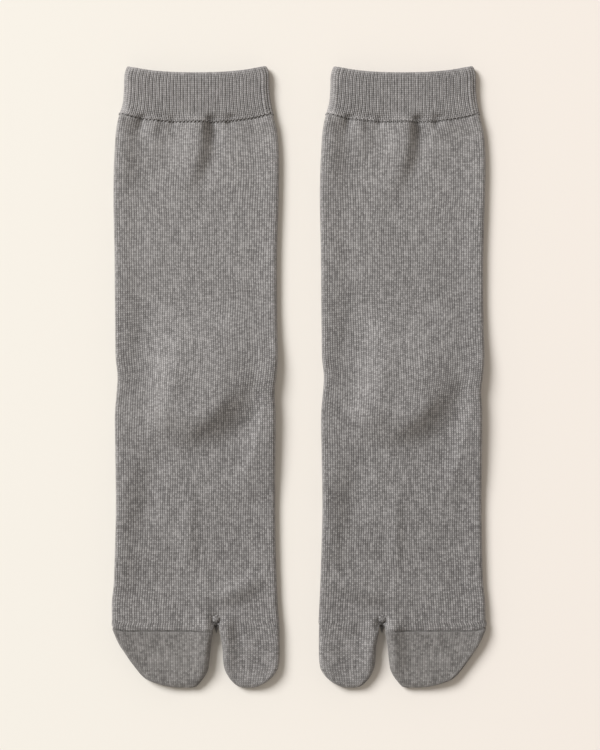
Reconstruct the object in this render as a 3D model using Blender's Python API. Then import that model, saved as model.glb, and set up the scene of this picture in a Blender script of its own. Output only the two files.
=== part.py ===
"""A pair of tabi socks laid flat, insteps up, cuffs towards +Y and toes towards -Y.

Each sock is four knitted pieces: a doubled rib cuff, one tube of leg, instep and sole with the
big-toe stall, a heel pocket folded flat under the ankle, and a cap over the other four toes.
Every piece is a cloth wall around its own hollow, open where the knitting runs on into the next
piece. The surface that the socks lie on is z = 0, and the origin is midway between the socks.

Sizes are in millimetres here and become metres when a mesh is made. Each sock is worked out about
its own leg line. Rows run across the sock and are named by their level, the y that they cross the
leg line at. Columns run along it, outer-toe side first, so the big toe is at the end of each row.
"""
from collections import namedtuple

import bmesh
import bpy
import numpy as np

MM = 0.001

# Driving sizes, in millimetres.
LEG_LINE = 53.05  # from the middle of the pair to each leg line
PLAIN_WALL = 1.2  # plain knit, one layer
RIB_WALL = 1.7  # doubled rib, one side of the cuff
LAID = 4.0  # thickness of the laid tube: two walls and the air between
LEFT_RISE = 1.3  # how much its folded side springs up at -x
LEFT_INNER = -28.0  # where that rise begins
LEFT_HOLLOW = 0.7  # share of that rise missing beside the heel
LEFT_HOLLOW_Y = -30.0
LEFT_HOLLOW_REACH = 34.0  # how far it reaches each way from there
LEFT_HOLLOW_FLAT = 0.15  # share of that reach where it is deepest
RIGHT_RISE = 0.9  # the same at +x
RIGHT_INNER = 29.0
RISE_REACH = 12.5  # distance over which both sides spring up
FOLD_FILL = 0.5  # height of a fold that its wall fills before the hollow follows it
TOE_RISE = 1.1  # how much thicker the toes lie than the foot
TOE_RISE_FROM = -110.0
TOE_RISE_REACH = 26.0
LITTLE_TOE_SWELL = 0.6  # how far the foot bulges out above the little toe
LITTLE_TOE_Y = -116.0
LITTLE_TOE_REACH = 12.0
SEAM_GAP = 0.3  # clearance between neighbouring pieces

CUFF_TOP = 160.3
CUFF_FOOT = 135.05
CUFF_HEIGHT = 5.6
CUFF_AIR = 1.4  # between its two sides
CUFF_CROWN = 0.35  # how much higher its middle is than its folds
CROWN_HALF = 42.0  # distance from the leg line to where that ends
CUFF_ARC = 3.9  # how far the middle of the cuff sags towards the toes
ARC_HALF = 37.5  # distance from the leg line to where the sag begins
ARC_POWER = 2.5  # flatness of that sag
ARC_FADES_AT = 98.0  # level where the rows of the leg are straight again
CUFF_RIM = 1.4  # length of the rounded rim of the welt
RIM_FLATTEN = 0.45  # share of the cuff's height that the rim loses at its very edge
RIBS = 38  # on the upper face, between the two folds
FOLD_RIBS = 2  # on the upper half of each fold
RIB_SPANS = 4  # mesh spans in a rib
RIB_HEIGHT = 0.45
CUFF_FOOT_RISE = 0.9  # how much higher the leg starts than it lies
CUFF_FOOT_REACH = 10.0  # length of that rise
CUFF_FOOT_RISE_FROM = 123.0  # y where it begins

HEEL_LEVEL = 8.1  # row where the heel pocket's mouth is
HEEL_SLANT = 8.2  # rise of that row at the leg's edge
HEEL_SLANT_HALF = 41.0  # distance from the leg line to where it has risen so far
HEEL_SLANT_REACH = 46.0  # how far above and below the rows still slant
POCKET_LAYER = 1.1  # wall of the folded heel pocket
POCKET_AIR = 0.4
POCKET_SIDE = 1.54  # width of its wall at its side folds
POCKET_END = 1.76  # and at its tip
POCKET_EDGE = 0.45  # height left at its tip, as a share of its thickness
POCKET_RECESS = 2.9  # how far the sole lifts to lie on the pocket
RECESS_OUTSIDE = 3.0  # the sole starts to lift this far outside the pocket
RECESS_INSIDE = 0.6  # and has lifted this far inside its edge
RECESS_STEP = 0.6  # length of the lift at the pocket's mouth
RECESS_TIP_RAMP = 4.2  # length of the sole's ramp past the pocket's tip
RECESS_PAST_TIP = 0.6  # how far the recess stays full past the pocket's tip
BULGE = 6.2  # how much the pocket lifts the instep

CLEFT_X = 10.4  # from the leg line to the cleft between the toes
CLEFT_APEX = -127.2
CROTCH_WALL = 1.6  # wall of the leg between the cleft and the hollow
TOE_SEAM = -130.6
TOE_SEAM_RISE = 2.0  # how much the toe seam rises at the sock's outer edge
TOE_SEAM_CORNER = 9.0  # width of that rise
TOE_SEAM_EDGE = -43.0  # from the leg line to that edge
TOE_SEAM_REACH = 12.0  # how far from the seam the rows still rise
TOE_TIP = -159.94
TIP_ROLL = 3.2  # length of a toe's rounded tip
TIP_EDGE = 0.35  # height left at the very edge of a toe, as a share of its thickness
TIP_FILL = 2.4  # cloth between a toe's hollow and its tip
ROUND_SHARE = 0.35  # most of a toe's width that its side folds take
LEAN_STEP = 0.5  # distance over which the lean of a toe's edge is read
NARROWEST_HOLLOW = 2.0

TOP_SPANS = (12, 7)  # spans of a row's top on the outer and inner side of the cleft line
SOLE_SPANS = (5, 3)  # spans of its bottom
SOLE_EVEN_ABOVE = 60.0  # level where the bottom's columns are evenly spaced again
SOLE_EVEN_BELOW = -80.0
FOLD_SPANS = 4  # spans around a side fold
CUFF_BACK_SPANS = 20
POCKET_SPANS = 6

HEATHER = (0.243, 0.228, 0.216, 1.0)
CUFF_HEATHER = (0.236, 0.223, 0.214, 1.0)
TOE_HEATHER = (0.224, 0.210, 0.198, 1.0)
KNIT_ROUGHNESS = 0.95

# Half-outlines of the laid sock about the leg line, one row for each place where the edge turns.
Section = namedtuple("Section", "y left right")
TUBE_OUTLINE = (
    Section(160.3, -35.4, 36.1),
    Section(157.0, -36.5, 37.2),
    Section(147.6, -37.1, 37.6),
    Section(139.9, -37.9, 38.5),
    Section(133.2, -39.8, 40.0),
    Section(127.0, -41.0, 41.6),
    Section(116.7, -41.8, 42.6),
    Section(96.1, -42.5, 42.6),
    Section(65.3, -42.0, 41.7),
    Section(24.1, -41.6, 41.8),
    Section(8.7, -41.3, 42.1),
    Section(-0.6, -40.4, 41.3),
    Section(-5.7, -40.7, 40.6),
    Section(-17.1, -41.7, 41.0),
    Section(-37.6, -41.6, 40.9),
    Section(-68.5, -41.2, 40.7),
    Section(-89.1, -41.7, 41.0),
    Section(-109.7, -42.4, 41.7),
    Section(-118.0, -42.8, 42.1),
    Section(-128.2, -43.3, 43.0),
)

# The toes, with the big toe towards +x.
ToeSection = namedtuple("ToeSection", "y low high")
BIG_TOE_TABLE = (
    ToeSection(-127.2, 11.6, 42.9),
    ToeSection(-131.0, 12.6, 43.0),
    ToeSection(-135.4, 13.2, 43.0),
    ToeSection(-138.5, 13.5, 43.0),
    ToeSection(-141.6, 13.7, 43.0),
    ToeSection(-144.7, 13.8, 42.9),
    ToeSection(-147.7, 14.1, 42.6),
    ToeSection(-150.5, 14.8, 41.9),
    ToeSection(-152.5, 15.6, 40.7),
    ToeSection(-154.6, 16.9, 39.0),
    ToeSection(-156.3, 18.2, 37.0),
    ToeSection(-157.6, 19.5, 35.1),
    ToeSection(-158.8, 21.1, 32.8),
    ToeSection(-159.5, 22.7, 31.0),
    ToeSection(-159.94, 24.6, 28.8),
)
TOE_CAP_TABLE = (
    ToeSection(-127.2, -43.3, 9.0),
    ToeSection(-130.6, -43.2, 8.1),
    ToeSection(-132.3, -42.6, 7.9),
    ToeSection(-135.4, -41.0, 7.8),
    ToeSection(-138.5, -39.1, 7.7),
    ToeSection(-141.6, -36.9, 7.4),
    ToeSection(-147.0, -33.2, 6.8),
    ToeSection(-150.5, -30.5, 6.2),
    ToeSection(-153.5, -28.0, 4.8),
    ToeSection(-155.8, -25.0, 3.2),
    ToeSection(-157.3, -21.3, 2.0),
    ToeSection(-158.6, -16.8, 0.8),
    ToeSection(-159.5, -12.3, -0.5),
    ToeSection(-159.94, -8.3, -2.7),
)
# A toe's table, and which side of the cleft line it is on.
Toe = namedtuple("Toe", "table side")
OTHER_TOES = Toe(TOE_CAP_TABLE, 0)
BIG_TOE = Toe(BIG_TOE_TABLE, 1)

# The heel pocket, folded flat and pointing at the toes: its edges on each row of the leg.
PocketSection = namedtuple("PocketSection", "level left right")
HEEL_POCKET = (
    PocketSection(8.1, -16.2, 25.0),
    PocketSection(0.0, -17.6, 28.6),
    PocketSection(-8.0, -18.8, 26.0),
    PocketSection(-16.0, -19.4, 20.6),
    PocketSection(-22.0, -18.6, 16.4),
    PocketSection(-26.0, -16.4, 13.0),
    PocketSection(-29.0, -12.8, 9.8),
    PocketSection(-31.0, -8.6, 6.8),
)

# Slopes of the instep bulge over the pocket. Each takes its share of the bulge off where it
# ends, from the line (x0, y0) to (x1, y1): it starts and ends the given distances across it.
Slope = namedtuple("Slope", "x0 y0 x1 y1 before after share")
BULGE_SLOPES = (
    Slope(-12.4, 39.5, -22.7, -27.3, 7.0, 9.0, 1.0),
    Slope(-39.2, -23.0, 4.6, -29.0, 16.0, 16.0, 1.0),
    Slope(-3.5, -41.0, 30.8, -5.7, 7.5, 7.0, 1.0),
    Slope(22.6, -22.2, 24.6, 29.2, 14.0, 14.0, 0.65),
    Slope(48.3, 20.0, -39.2, 20.0, 22.0, 24.0, 1.0),
)

# Folds of the upper face: a ridge, or a trough where height is negative, along a bowed line.
# west and east are its widths to the left and right of the way down.
Fold = namedtuple("Fold", "x0 y0 x1 y1 bow west east height head tail")
LEG_FOLDS = (
    Fold(3.0, 133.2, -15.5, 83.8, 5.0, 10.0, 6.0, 3.7, 0.06, 0.85),
    Fold(-19.0, 133.2, -24.8, 107.5, 0.0, 5.0, 5.0, 1.5, 0.08, 0.75),
    Fold(15.0, 133.2, 18.4, 116.7, 0.0, 4.0, 6.5, 0.8, 0.10, 0.70),
    Fold(-37.1, 135.0, -37.8, 90.0, 0.0, 5.0, 7.5, 2.2, 0.06, 0.60),
    Fold(-23.7, 44.7, -30.9, -4.2, 0.0, 6.0, 6.0, -0.8, 0.30, 0.50),
    Fold(-22.2, -43.8, -25.8, -86.5, 0.0, 7.0, 7.0, -0.8, 0.30, 0.50),
    Fold(-37.4, -46.0, -38.0, -114.0, 0.0, 5.0, 8.0, 1.2, 0.25, 0.40),
    Fold(36.0, 2.0, 19.0, -67.0, 5.0, 5.4, 12.0, 2.6, 0.25, 0.35),
    Fold(-6.0, -30.0, 22.0, -3.0, 0.0, 6.0, 10.0, 1.8, 0.30, 0.40),
    Fold(-3.4, -62.0, -3.4, -107.1, 0.0, 4.0, 3.5, 1.2, 0.30, 0.50),
    Fold(-13.4, 24.1, -18.6, -27.3, 0.0, 6.0, 9.0, 0.9, 0.40, 0.40),
)
# Folds at the toes, with the big toe towards +x.
TOE_FOLDS = (
    Fold(10.2, -112.8, 39.0, -97.8, -2.0, 5.5, 4.6, 2.5, 0.25, 0.50),
    Fold(4.0, -106.6, 5.1, -135.4, 0.0, 6.4, 3.4, 1.3, 0.40, 0.30),
    Fold(5.6, -126.0, 3.0, -158.0, 0.0, 5.0, 5.0, 1.7, 0.12, 0.45),
    Fold(14.8, -124.5, 17.4, -156.0, 0.0, 4.0, 4.0, 1.5, 0.10, 0.45),
)

RECESS_TIP = -31.3  # where the sole's recess over the pocket ends

# Rows of the leg tube: evenly spaced over each stretch.
Stretch = namedtuple("Stretch", "start stop spans")
LEG_STRETCHES = (
    Stretch(134.75, 126.0, 3),
    Stretch(126.0, 98.0, 6),
    Stretch(98.0, 42.0, 4),
    Stretch(42.0, HEEL_LEVEL, 5),
)
FOOT_STRETCHES = (
    Stretch(RECESS_TIP - RECESS_TIP_RAMP, -50.0, 3),
    Stretch(-50.0, -90.0, 4),
    Stretch(-90.0, CLEFT_APEX + LAID / 2.0, 6),
)
TOE_STEPS = (-128.6, -132.5, -137.5, -143.0, -148.0, -152.0, -155.2, -157.4, -158.9, -159.9)
CAP_STEPS = (-133.6, -137.5, -142.5, -147.5, -151.5, -154.8, -157.2, -158.8, -159.9)


def smoothstep(share):
    """0 below 0, 1 above 1, and 3s^2 - 2s^3 between."""
    share = np.clip(share, 0.0, 1.0)
    return share * share * (3.0 - 2.0 * share)


def along(table, column, at):
    """A column of a table read at a y or level, on cubic curves through its rows."""
    stations = np.array([row[0] for row in table])[::-1]
    values = np.array([getattr(row, column) for row in table])[::-1]
    slopes = np.gradient(values, stations)
    at = np.clip(at, stations[0], stations[-1])
    i = np.clip(np.searchsorted(stations, at) - 1, 0, len(stations) - 2)
    width = stations[i + 1] - stations[i]
    t = (at - stations[i]) / width
    rise = values[i + 1] - values[i]
    bend_in = t * (1 - t) ** 2 * (slopes[i] * width - rise)
    bend_out = t * t * (t - 1) * (slopes[i + 1] * width - rise)
    return values[i] + rise * t + bend_in + bend_out


def row_y(level, x):
    """The y of a row at x: sagging at the cuff and slanting at the heel, otherwise straight."""
    reach = np.clip(np.abs(x) / ARC_HALF, 0.0, 1.0)
    arc_share = smoothstep((level - ARC_FADES_AT) / (CUFF_FOOT - ARC_FADES_AT))
    sag = CUFF_ARC * (1.0 - reach**ARC_POWER) * arc_share
    slant_share = smoothstep(1.0 - np.abs(level - HEEL_LEVEL) / HEEL_SLANT_REACH)
    return level - sag + HEEL_SLANT * x / HEEL_SLANT_HALF * slant_share


def fold_height(fold, x, y):
    """Height of one fold: a bell across its bowed line, faded in over head and out over tail."""
    run = np.array([fold.x1 - fold.x0, fold.y1 - fold.y0])
    length = np.hypot(*run)
    forward = run / length
    along_fold = ((x - fold.x0) * forward[0] + (y - fold.y0) * forward[1]) / length
    across = (y - fold.y0) * forward[0] - (x - fold.x0) * forward[1]
    across = across - fold.bow * 4.0 * along_fold * (1.0 - along_fold)
    width = np.where(across > 0.0, fold.east, fold.west)
    ends = smoothstep((along_fold + fold.head) / (2.0 * fold.head))
    ends = ends * smoothstep((1.0 - along_fold) / fold.tail)
    return fold.height * np.exp(-((across / width) ** 2)) * ends


def bulge_height(x, y):
    """How far the heel pocket lifts the instep, less what each slope takes off."""
    lift = BULGE
    for slope in BULGE_SLOPES:
        run = np.array([slope.x1 - slope.x0, slope.y1 - slope.y0])
        inside = ((y - slope.y0) * run[0] - (x - slope.x0) * run[1]) / np.hypot(*run)
        risen = smoothstep((inside + slope.before) / (slope.before + slope.after))
        lift = lift * (1.0 - slope.share * (1.0 - risen))
    return lift


def edge_rise(x, y):
    """How much the folded sides spring up, with a hollow beside the heel at -x."""
    beside_heel = smoothstep(1.0 + LEFT_HOLLOW_FLAT - np.abs(y - LEFT_HOLLOW_Y) / LEFT_HOLLOW_REACH)
    left = LEFT_RISE * (1.0 - LEFT_HOLLOW * beside_heel) * smoothstep((LEFT_INNER - x) / RISE_REACH)
    return left + RIGHT_RISE * smoothstep((x - RIGHT_INNER) / RISE_REACH)


def crown(x):
    """How much the cuff's upper face rises towards the leg line."""
    return CUFF_CROWN * (1.0 - (x / CROWN_HALF) ** 2)


def plain_top(x, y):
    """The upper face without its folds."""
    rise = CUFF_FOOT_RISE * smoothstep((y - CUFF_FOOT_RISE_FROM) / CUFF_FOOT_REACH)
    rise = rise + TOE_RISE * smoothstep((TOE_RISE_FROM - y) / TOE_RISE_REACH)
    return LAID + edge_rise(x, y) + bulge_height(x, y) + rise


def folds_top(x, y, toe_side):
    """What the folds add to the upper face. toe_side is +1 where the big toe is towards +x."""
    height = 0.0
    for fold in LEG_FOLDS:
        height = height + fold_height(fold, x, y)
    for fold in TOE_FOLDS:
        height = height + fold_height(fold, x * toe_side, y)
    return height


class Wall:
    """Rows of points that a cloth wall is stitched from, outside and inside."""

    def __init__(self):
        self.points = []
        self.faces = []

    def add(self, x, y, z):
        """Add points and return their numbers."""
        first = len(self.points)
        self.points.extend(np.column_stack(np.broadcast_arrays(x, y, z)).tolist())
        return list(range(first, len(self.points)))

    def bridge(self, ring_a, ring_b):
        """Join two rings of as many points with quads."""
        count = len(ring_a)
        for i in range(count):
            j = (i + 1) % count
            self.faces.append((ring_a[i], ring_a[j], ring_b[j], ring_b[i]))

    def tube(self, rows):
        """Join each row to the next."""
        rings = [row.ring() for row in rows]
        for ring_a, ring_b in zip(rings, rings[1:]):
            self.bridge(ring_a, ring_b)

    def stitch(self, line_a, line_b):
        """Triangles between two lines that run the same way with any number of points."""
        i = j = 0
        while i + j < len(line_a) + len(line_b) - 2:
            if (i + 1) * (len(line_b) - 1) <= (j + 1) * (len(line_a) - 1):
                self.faces.append((line_a[i], line_a[i + 1], line_b[j]))
                i += 1
            else:
                self.faces.append((line_a[i], line_b[j + 1], line_b[j]))
                j += 1

    def close(self, row):
        """Close a tube's end with a strip between its top and its bottom."""
        self.stitch(row.top, row.bottom)
        for side in (row.low_side(), row.high_side()):
            if len(side) > 2:
                self.faces.append(tuple(side))

    def rim(self, outer, inner):
        """Close a mouth between the outside's last row and the hollow's."""
        self.stitch(outer.top, inner.top)
        self.stitch(outer.high_side(), inner.high_side())
        self.stitch(outer.bottom, inner.bottom)
        self.stitch(outer.low_side(), inner.low_side())


class Row:
    """One row around a flattened tube: top and bottom from low x to high x, folds downwards."""

    def __init__(self, top, high_fold, bottom, low_fold):
        self.top = top
        self.high_fold = high_fold
        self.bottom = bottom
        self.low_fold = low_fold

    def ring(self):
        """All its points in order around the tube."""
        return self.top + self.high_fold + self.bottom[::-1] + self.low_fold[::-1]

    def high_side(self):
        """Its fold at high x with both ends, downwards."""
        return [self.top[-1], *self.high_fold, self.bottom[-1]]

    def low_side(self):
        """Its fold at low x with both ends, downwards."""
        return [self.top[0], *self.low_fold, self.bottom[0]]

    def high_part(self, fold):
        """The part on the big toe's side of the cleft line, closed by another fold."""
        return Row(self.top[TOP_SPANS[0] :], self.high_fold, self.bottom[SOLE_SPANS[0] :], fold)

    def low_part(self, fold):
        """The part on the other toes' side, closed by another fold."""
        top = self.top[: TOP_SPANS[0] + 1]
        return Row(top, fold, self.bottom[: SOLE_SPANS[0] + 1], self.low_fold)


def fold_arc(x_start, x_edge, z_high, z_low):
    """x and z on the half ellipse of a side fold, without its two ends."""
    angle = np.pi * np.arange(1, FOLD_SPANS) / FOLD_SPANS
    x = x_start + (x_edge - x_start) * np.sin(angle)
    z = (z_high + z_low) / 2.0 + (z_high - z_low) / 2.0 * np.cos(angle)
    return x, z


def even_columns(low, high, spans):
    """x of a row's columns, evenly spaced on each side of the cleft line."""
    outer = np.linspace(low, CLEFT_X, spans[0] + 1)
    inner = np.linspace(CLEFT_X, high, spans[1] + 1)
    return np.concatenate([outer, inner[1:]])


class Sock:
    """One sock's frame: its leg line, and which way its big toe points."""

    def __init__(self, name, leg_line, toe_side):
        self.name = name
        self.leg_line = leg_line
        self.toe_side = toe_side

    def edges(self, level):
        """The tube's two edges on a row, low x first in the frame with the big toe at +x."""
        left = along(TUBE_OUTLINE, "left", row_y(level, -HEEL_SLANT_HALF))
        right = along(TUBE_OUTLINE, "right", row_y(level, HEEL_SLANT_HALF))
        away = np.abs(level - LITTLE_TOE_Y) / LITTLE_TOE_REACH
        swell = LITTLE_TOE_SWELL * smoothstep(1.0 - away)
        return (left - swell, right) if self.toe_side > 0 else (-right - swell, -left)

    def pocket(self, level):
        """The heel pocket's two edges on a row, in the same frame."""
        left = along(HEEL_POCKET, "left", level)
        right = along(HEEL_POCKET, "right", level)
        return (left, right) if self.toe_side > 0 else (-right, -left)

    def y(self, level, x):
        """The y of a row at x, with the toe seam's rise at the outer edge."""
        corner = np.clip((TOE_SEAM_EDGE + TOE_SEAM_CORNER - x) / TOE_SEAM_CORNER, 0.0, 1.0)
        near_seam = smoothstep(1.0 - np.abs(level - TOE_SEAM) / TOE_SEAM_REACH)
        return row_y(level, x * self.toe_side) + TOE_SEAM_RISE * corner**2 * near_seam

    def top(self, x, y):
        """Height of the upper face with its folds."""
        folds = folds_top(x * self.toe_side, y, self.toe_side)
        return plain_top(x * self.toe_side, y) + folds

    def inner_top(self, x, y):
        """Height of the hollow's ceiling, one wall lower and plain under the small folds."""
        folds = folds_top(x * self.toe_side, y, self.toe_side)
        folds = np.minimum(folds, np.maximum(folds - FOLD_FILL, 0.0))
        return plain_top(x * self.toe_side, y) + folds - PLAIN_WALL

    def object(self, piece, wall, material):
        """A named object from a wall, placed in metres with all its faces outwards."""
        mesh = bpy.data.meshes.new(self.name + "_" + piece)
        shape = bmesh.new()
        corners = []
        for x, y, z in wall.points:
            corners.append(shape.verts.new(((self.leg_line + x * self.toe_side) * MM, y * MM, z * MM)))
        for face in wall.faces:
            shape.faces.new([corners[i] for i in face])
        bmesh.ops.recalc_face_normals(shape, faces=shape.faces)
        shape.to_mesh(mesh)
        shape.free()
        mesh.materials.append(material)
        mesh.shade_smooth()
        mesh.set_sharp_from_angle(angle=np.radians(50.0))
        item = bpy.data.objects.new(mesh.name, mesh)
        bpy.context.collection.objects.link(item)
        return item


def knit_material(name, colour):
    """Matt heather knit."""
    material = bpy.data.materials.new(name)
    material.use_nodes = True
    shader = material.node_tree.nodes["Principled BSDF"]
    shader.inputs["Base Color"].default_value = colour
    shader.inputs["Roughness"].default_value = KNIT_ROUGHNESS
    shader.inputs["Metallic"].default_value = 0.0
    return material


def tip_share(y, roll):
    """Share of a toe's thickness left at y: a quarter ellipse down to its edge."""
    depth = np.clip((y - TOE_TIP) / roll, 0.0, 1.0)
    return TIP_EDGE + (1.0 - TIP_EDGE) * np.sqrt(1.0 - (1.0 - depth) ** 2)


def sole_row(sock, level, low, high, lift):
    """x and z of a row's bottom columns, which keep to the heel pocket where it lifts them."""
    start, stop = sock.pocket(level)
    inner = np.linspace(start + RECESS_INSIDE, stop - RECESS_INSIDE, sum(SOLE_SPANS) - 3)
    beside = np.concatenate([[low, start - RECESS_OUTSIDE], inner, [stop + RECESS_OUTSIDE, high]])
    even = even_columns(low, high, SOLE_SPANS)
    above = smoothstep((SOLE_EVEN_ABOVE - level) / (SOLE_EVEN_ABOVE - HEEL_LEVEL))
    below = smoothstep((level - SOLE_EVEN_BELOW) / (HEEL_POCKET[-1].level - SOLE_EVEN_BELOW))
    z = np.full(len(beside), lift)
    z[[0, 1, -2, -1]] = 0.0
    return even + (beside - even) * above * below, z


def outer_row(wall, sock, level, lift):
    """The outside of the leg tube on one row."""
    low, high = sock.edges(level)
    radius = LAID / 2.0
    x = even_columns(low + radius, high - radius, TOP_SPANS)
    z = sock.top(x, sock.y(level, x))
    bottom = sole_row(sock, level, low + radius, high - radius, lift)
    return wall_row(wall, sock, level, (x, z), bottom, (low, high), fold_arc)


def upright(*_):
    """The plain upright side of a hollow, which needs no points between its two ends."""
    return np.empty(0), np.empty(0)


def inner_row(wall, sock, level, lift):
    """The hollow of the leg tube on one row."""
    low, high = sock.edges(level)
    low = low + PLAIN_WALL
    high = high - PLAIN_WALL
    x = even_columns(low, high, TOP_SPANS)
    z = sock.inner_top(x, sock.y(level, x))
    bottom_x, bottom_z = sole_row(sock, level, low, high, lift)
    bottom = (bottom_x, bottom_z + PLAIN_WALL)
    return wall_row(wall, sock, level, (x, z), bottom, (low, high), upright)


def wall_row(wall, sock, level, top, bottom, edges, side):
    """Add one row from its top and bottom (x, z) and the curve of its sides."""
    low_x, low_z = side(top[0][0], edges[0], top[1][0], bottom[1][0])
    high_x, high_z = side(top[0][-1], edges[1], top[1][-1], bottom[1][-1])
    return Row(
        wall.add(top[0], sock.y(level, top[0]), top[1]),
        wall.add(high_x, sock.y(level, high_x), high_z),
        wall.add(bottom[0], sock.y(level, bottom[0]), bottom[1]),
        wall.add(low_x, sock.y(level, low_x), low_z),
    )


def saddle(wall, row, y_edge, y_start):
    """The crotch of the cleft: a fold from the top to the bottom at the cleft line."""
    z_high = wall.points[row.top[TOP_SPANS[0]]][2]
    z_low = wall.points[row.bottom[SOLE_SPANS[0]]][2]
    y, z = fold_arc(y_start, y_edge, z_high, z_low)
    return wall.add(CLEFT_X, y, z)


def toe_outside(wall, sock, toe, level):
    """One row around the outside of a toe, rounded down to its tip."""
    low = along(toe.table, "low", level)
    high = along(toe.table, "high", level)
    radius = min(LAID / 2.0, ROUND_SHARE * (high - low))
    x = np.linspace(low + radius, high - radius, TOP_SPANS[toe.side] + 1)
    sole_x = np.linspace(low + radius, high - radius, SOLE_SPANS[toe.side] + 1)
    share = tip_share(level, TIP_ROLL)
    top = (x, sock.top(x, sock.y(level, x)) * (1.0 + share) / 2.0)
    sole = (sole_x, sock.top(sole_x, sock.y(level, sole_x)) * (1.0 - share) / 2.0)
    return wall_row(wall, sock, level, top, sole, (low, high), fold_arc)


def toe_inside(wall, sock, toe, level):
    """One row of a toe's hollow, one wall inside its edges as they lean."""
    low = along(toe.table, "low", level)
    high = along(toe.table, "high", level)
    lean_low = (low - along(toe.table, "low", level + LEAN_STEP)) / LEAN_STEP
    lean_high = (high - along(toe.table, "high", level + LEAN_STEP)) / LEAN_STEP
    middle = (low + high) / 2.0
    low = min(low + PLAIN_WALL * np.hypot(1.0, lean_low), middle - NARROWEST_HOLLOW / 2.0)
    high = max(high - PLAIN_WALL * np.hypot(1.0, lean_high), middle + NARROWEST_HOLLOW / 2.0)
    x = np.linspace(low, high, TOP_SPANS[toe.side] + 1)
    sole_x = np.linspace(low, high, SOLE_SPANS[toe.side] + 1)
    top = (x, sock.inner_top(x, sock.y(level, x)))
    sole = (sole_x, np.full(len(sole_x), PLAIN_WALL))
    return wall_row(wall, sock, level, top, sole, (low, high), upright)


def inside_level(level, start):
    """Level of a hollow's row, so that the hollow ends one wall short of the toe's tip."""
    return start + (level - start) * (TOE_TIP + TIP_FILL - start) / (TOE_TIP - start)


def leg_levels():
    """Level and sole lift of each row from the cuff to the cleft."""
    rows = []
    for stretch in LEG_STRETCHES:
        for level in np.linspace(stretch.start, stretch.stop, stretch.spans + 1)[:-1]:
            rows.append((level, 0.0))
    rows.append((HEEL_LEVEL, 0.0))
    rows.append((HEEL_LEVEL - RECESS_STEP, POCKET_RECESS))
    for section in HEEL_POCKET[1:]:
        rows.append((section.level, POCKET_RECESS))
    rows.append((HEEL_POCKET[-1].level - RECESS_PAST_TIP, POCKET_RECESS))
    for stretch in FOOT_STRETCHES:
        for level in np.linspace(stretch.start, stretch.stop, stretch.spans + 1)[:-1]:
            rows.append((level, 0.0))
    rows.append((FOOT_STRETCHES[-1].stop, 0.0))
    return rows


def leg_foot(sock, material):
    """The tube of leg, instep and sole, parted at the cleft, with the closed big-toe stall."""
    wall = Wall()
    outer = []
    inner = []
    for level, lift in leg_levels():
        outer.append(outer_row(wall, sock, level, lift))
        ahead = 0.0
        if abs(level - HEEL_LEVEL + RECESS_STEP / 2.0) < RECESS_STEP:
            ahead = PLAIN_WALL
        if level == FOOT_STRETCHES[-1].stop:
            ahead = CROTCH_WALL - LAID / 2.0
        inner.append(inner_row(wall, sock, level + ahead, lift))
    wall.tube(outer)
    wall.tube(inner)
    wall.rim(outer[0], inner[0])

    crotch = saddle(wall, outer[-1], CLEFT_APEX, FOOT_STRETCHES[-1].stop)
    toe_outer = [outer[-1].high_part(crotch)]
    toe_inner = [inner[-1].high_part([])]
    for level in TOE_STEPS:
        toe_outer.append(toe_outside(wall, sock, BIG_TOE, level))
        toe_inner.append(toe_inside(wall, sock, BIG_TOE, inside_level(level, CLEFT_APEX)))
    wall.tube(toe_outer)
    wall.tube(toe_inner)
    wall.close(toe_outer[-1])
    wall.close(toe_inner[-1])

    rest_outer = [outer[-1].low_part(crotch)]
    rest_inner = [inner[-1].low_part([])]
    for level in (TOE_STEPS[0], TOE_SEAM + SEAM_GAP / 2.0):
        rest_outer.append(toe_outside(wall, sock, OTHER_TOES, level))
        rest_inner.append(toe_inside(wall, sock, OTHER_TOES, level))
    wall.tube(rest_outer)
    wall.tube(rest_inner)
    wall.rim(rest_outer[-1], rest_inner[-1])
    return sock.object("leg_foot", wall, material)


def toe_cap(sock, material):
    """The pocket for the four other toes, from the linked seam to its closed tip."""
    wall = Wall()
    outer = []
    inner = []
    start = TOE_SEAM - SEAM_GAP / 2.0
    for level in (start, *CAP_STEPS):
        outer.append(toe_outside(wall, sock, OTHER_TOES, level))
        inner.append(toe_inside(wall, sock, OTHER_TOES, inside_level(level, start)))
    wall.tube(outer)
    wall.tube(inner)
    wall.rim(outer[0], inner[0])
    wall.close(outer[-1])
    wall.close(inner[-1])
    return sock.object("toe_cap", wall, material)


def heel(sock, material):
    """The heel pocket: two layers with air between, open at the ankle, closed at its tip."""
    wall = Wall()
    thick = 2.0 * POCKET_LAYER + POCKET_AIR
    radius = thick / 2.0
    start = HEEL_LEVEL - RECESS_STEP - SEAM_GAP
    stop = HEEL_POCKET[-1].level
    levels = np.concatenate([[start], [section.level for section in HEEL_POCKET[1:]]])
    outer = []
    inner = []
    for level in levels:
        low, high = sock.pocket(level)
        share = POCKET_EDGE if level == stop else 1.0
        side = min(radius, ROUND_SHARE * (high - low))
        x = np.linspace(low + side, high - side, POCKET_SPANS + 1)
        top = (x, np.full(len(x), radius * (1.0 + share)))
        bottom = (x, np.full(len(x), radius * (1.0 - share)))
        outer.append(wall_row(wall, sock, level, top, bottom, (low, high), fold_arc))
        level = start + (level - start) * (stop + POCKET_END - start) / (stop - start)
        low, high = sock.pocket(level)
        low = low + POCKET_SIDE
        high = high - POCKET_SIDE
        x = np.linspace(low, high, POCKET_SPANS + 1)
        top = (x, np.full(len(x), POCKET_LAYER + POCKET_AIR))
        bottom = (x, np.full(len(x), POCKET_LAYER))
        inner.append(wall_row(wall, sock, level, top, bottom, (low, high), upright))
    wall.tube(outer)
    wall.tube(inner)
    wall.rim(outer[0], inner[0])
    wall.close(outer[-1])
    wall.close(inner[-1])
    return sock.object("heel", wall, material)


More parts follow.
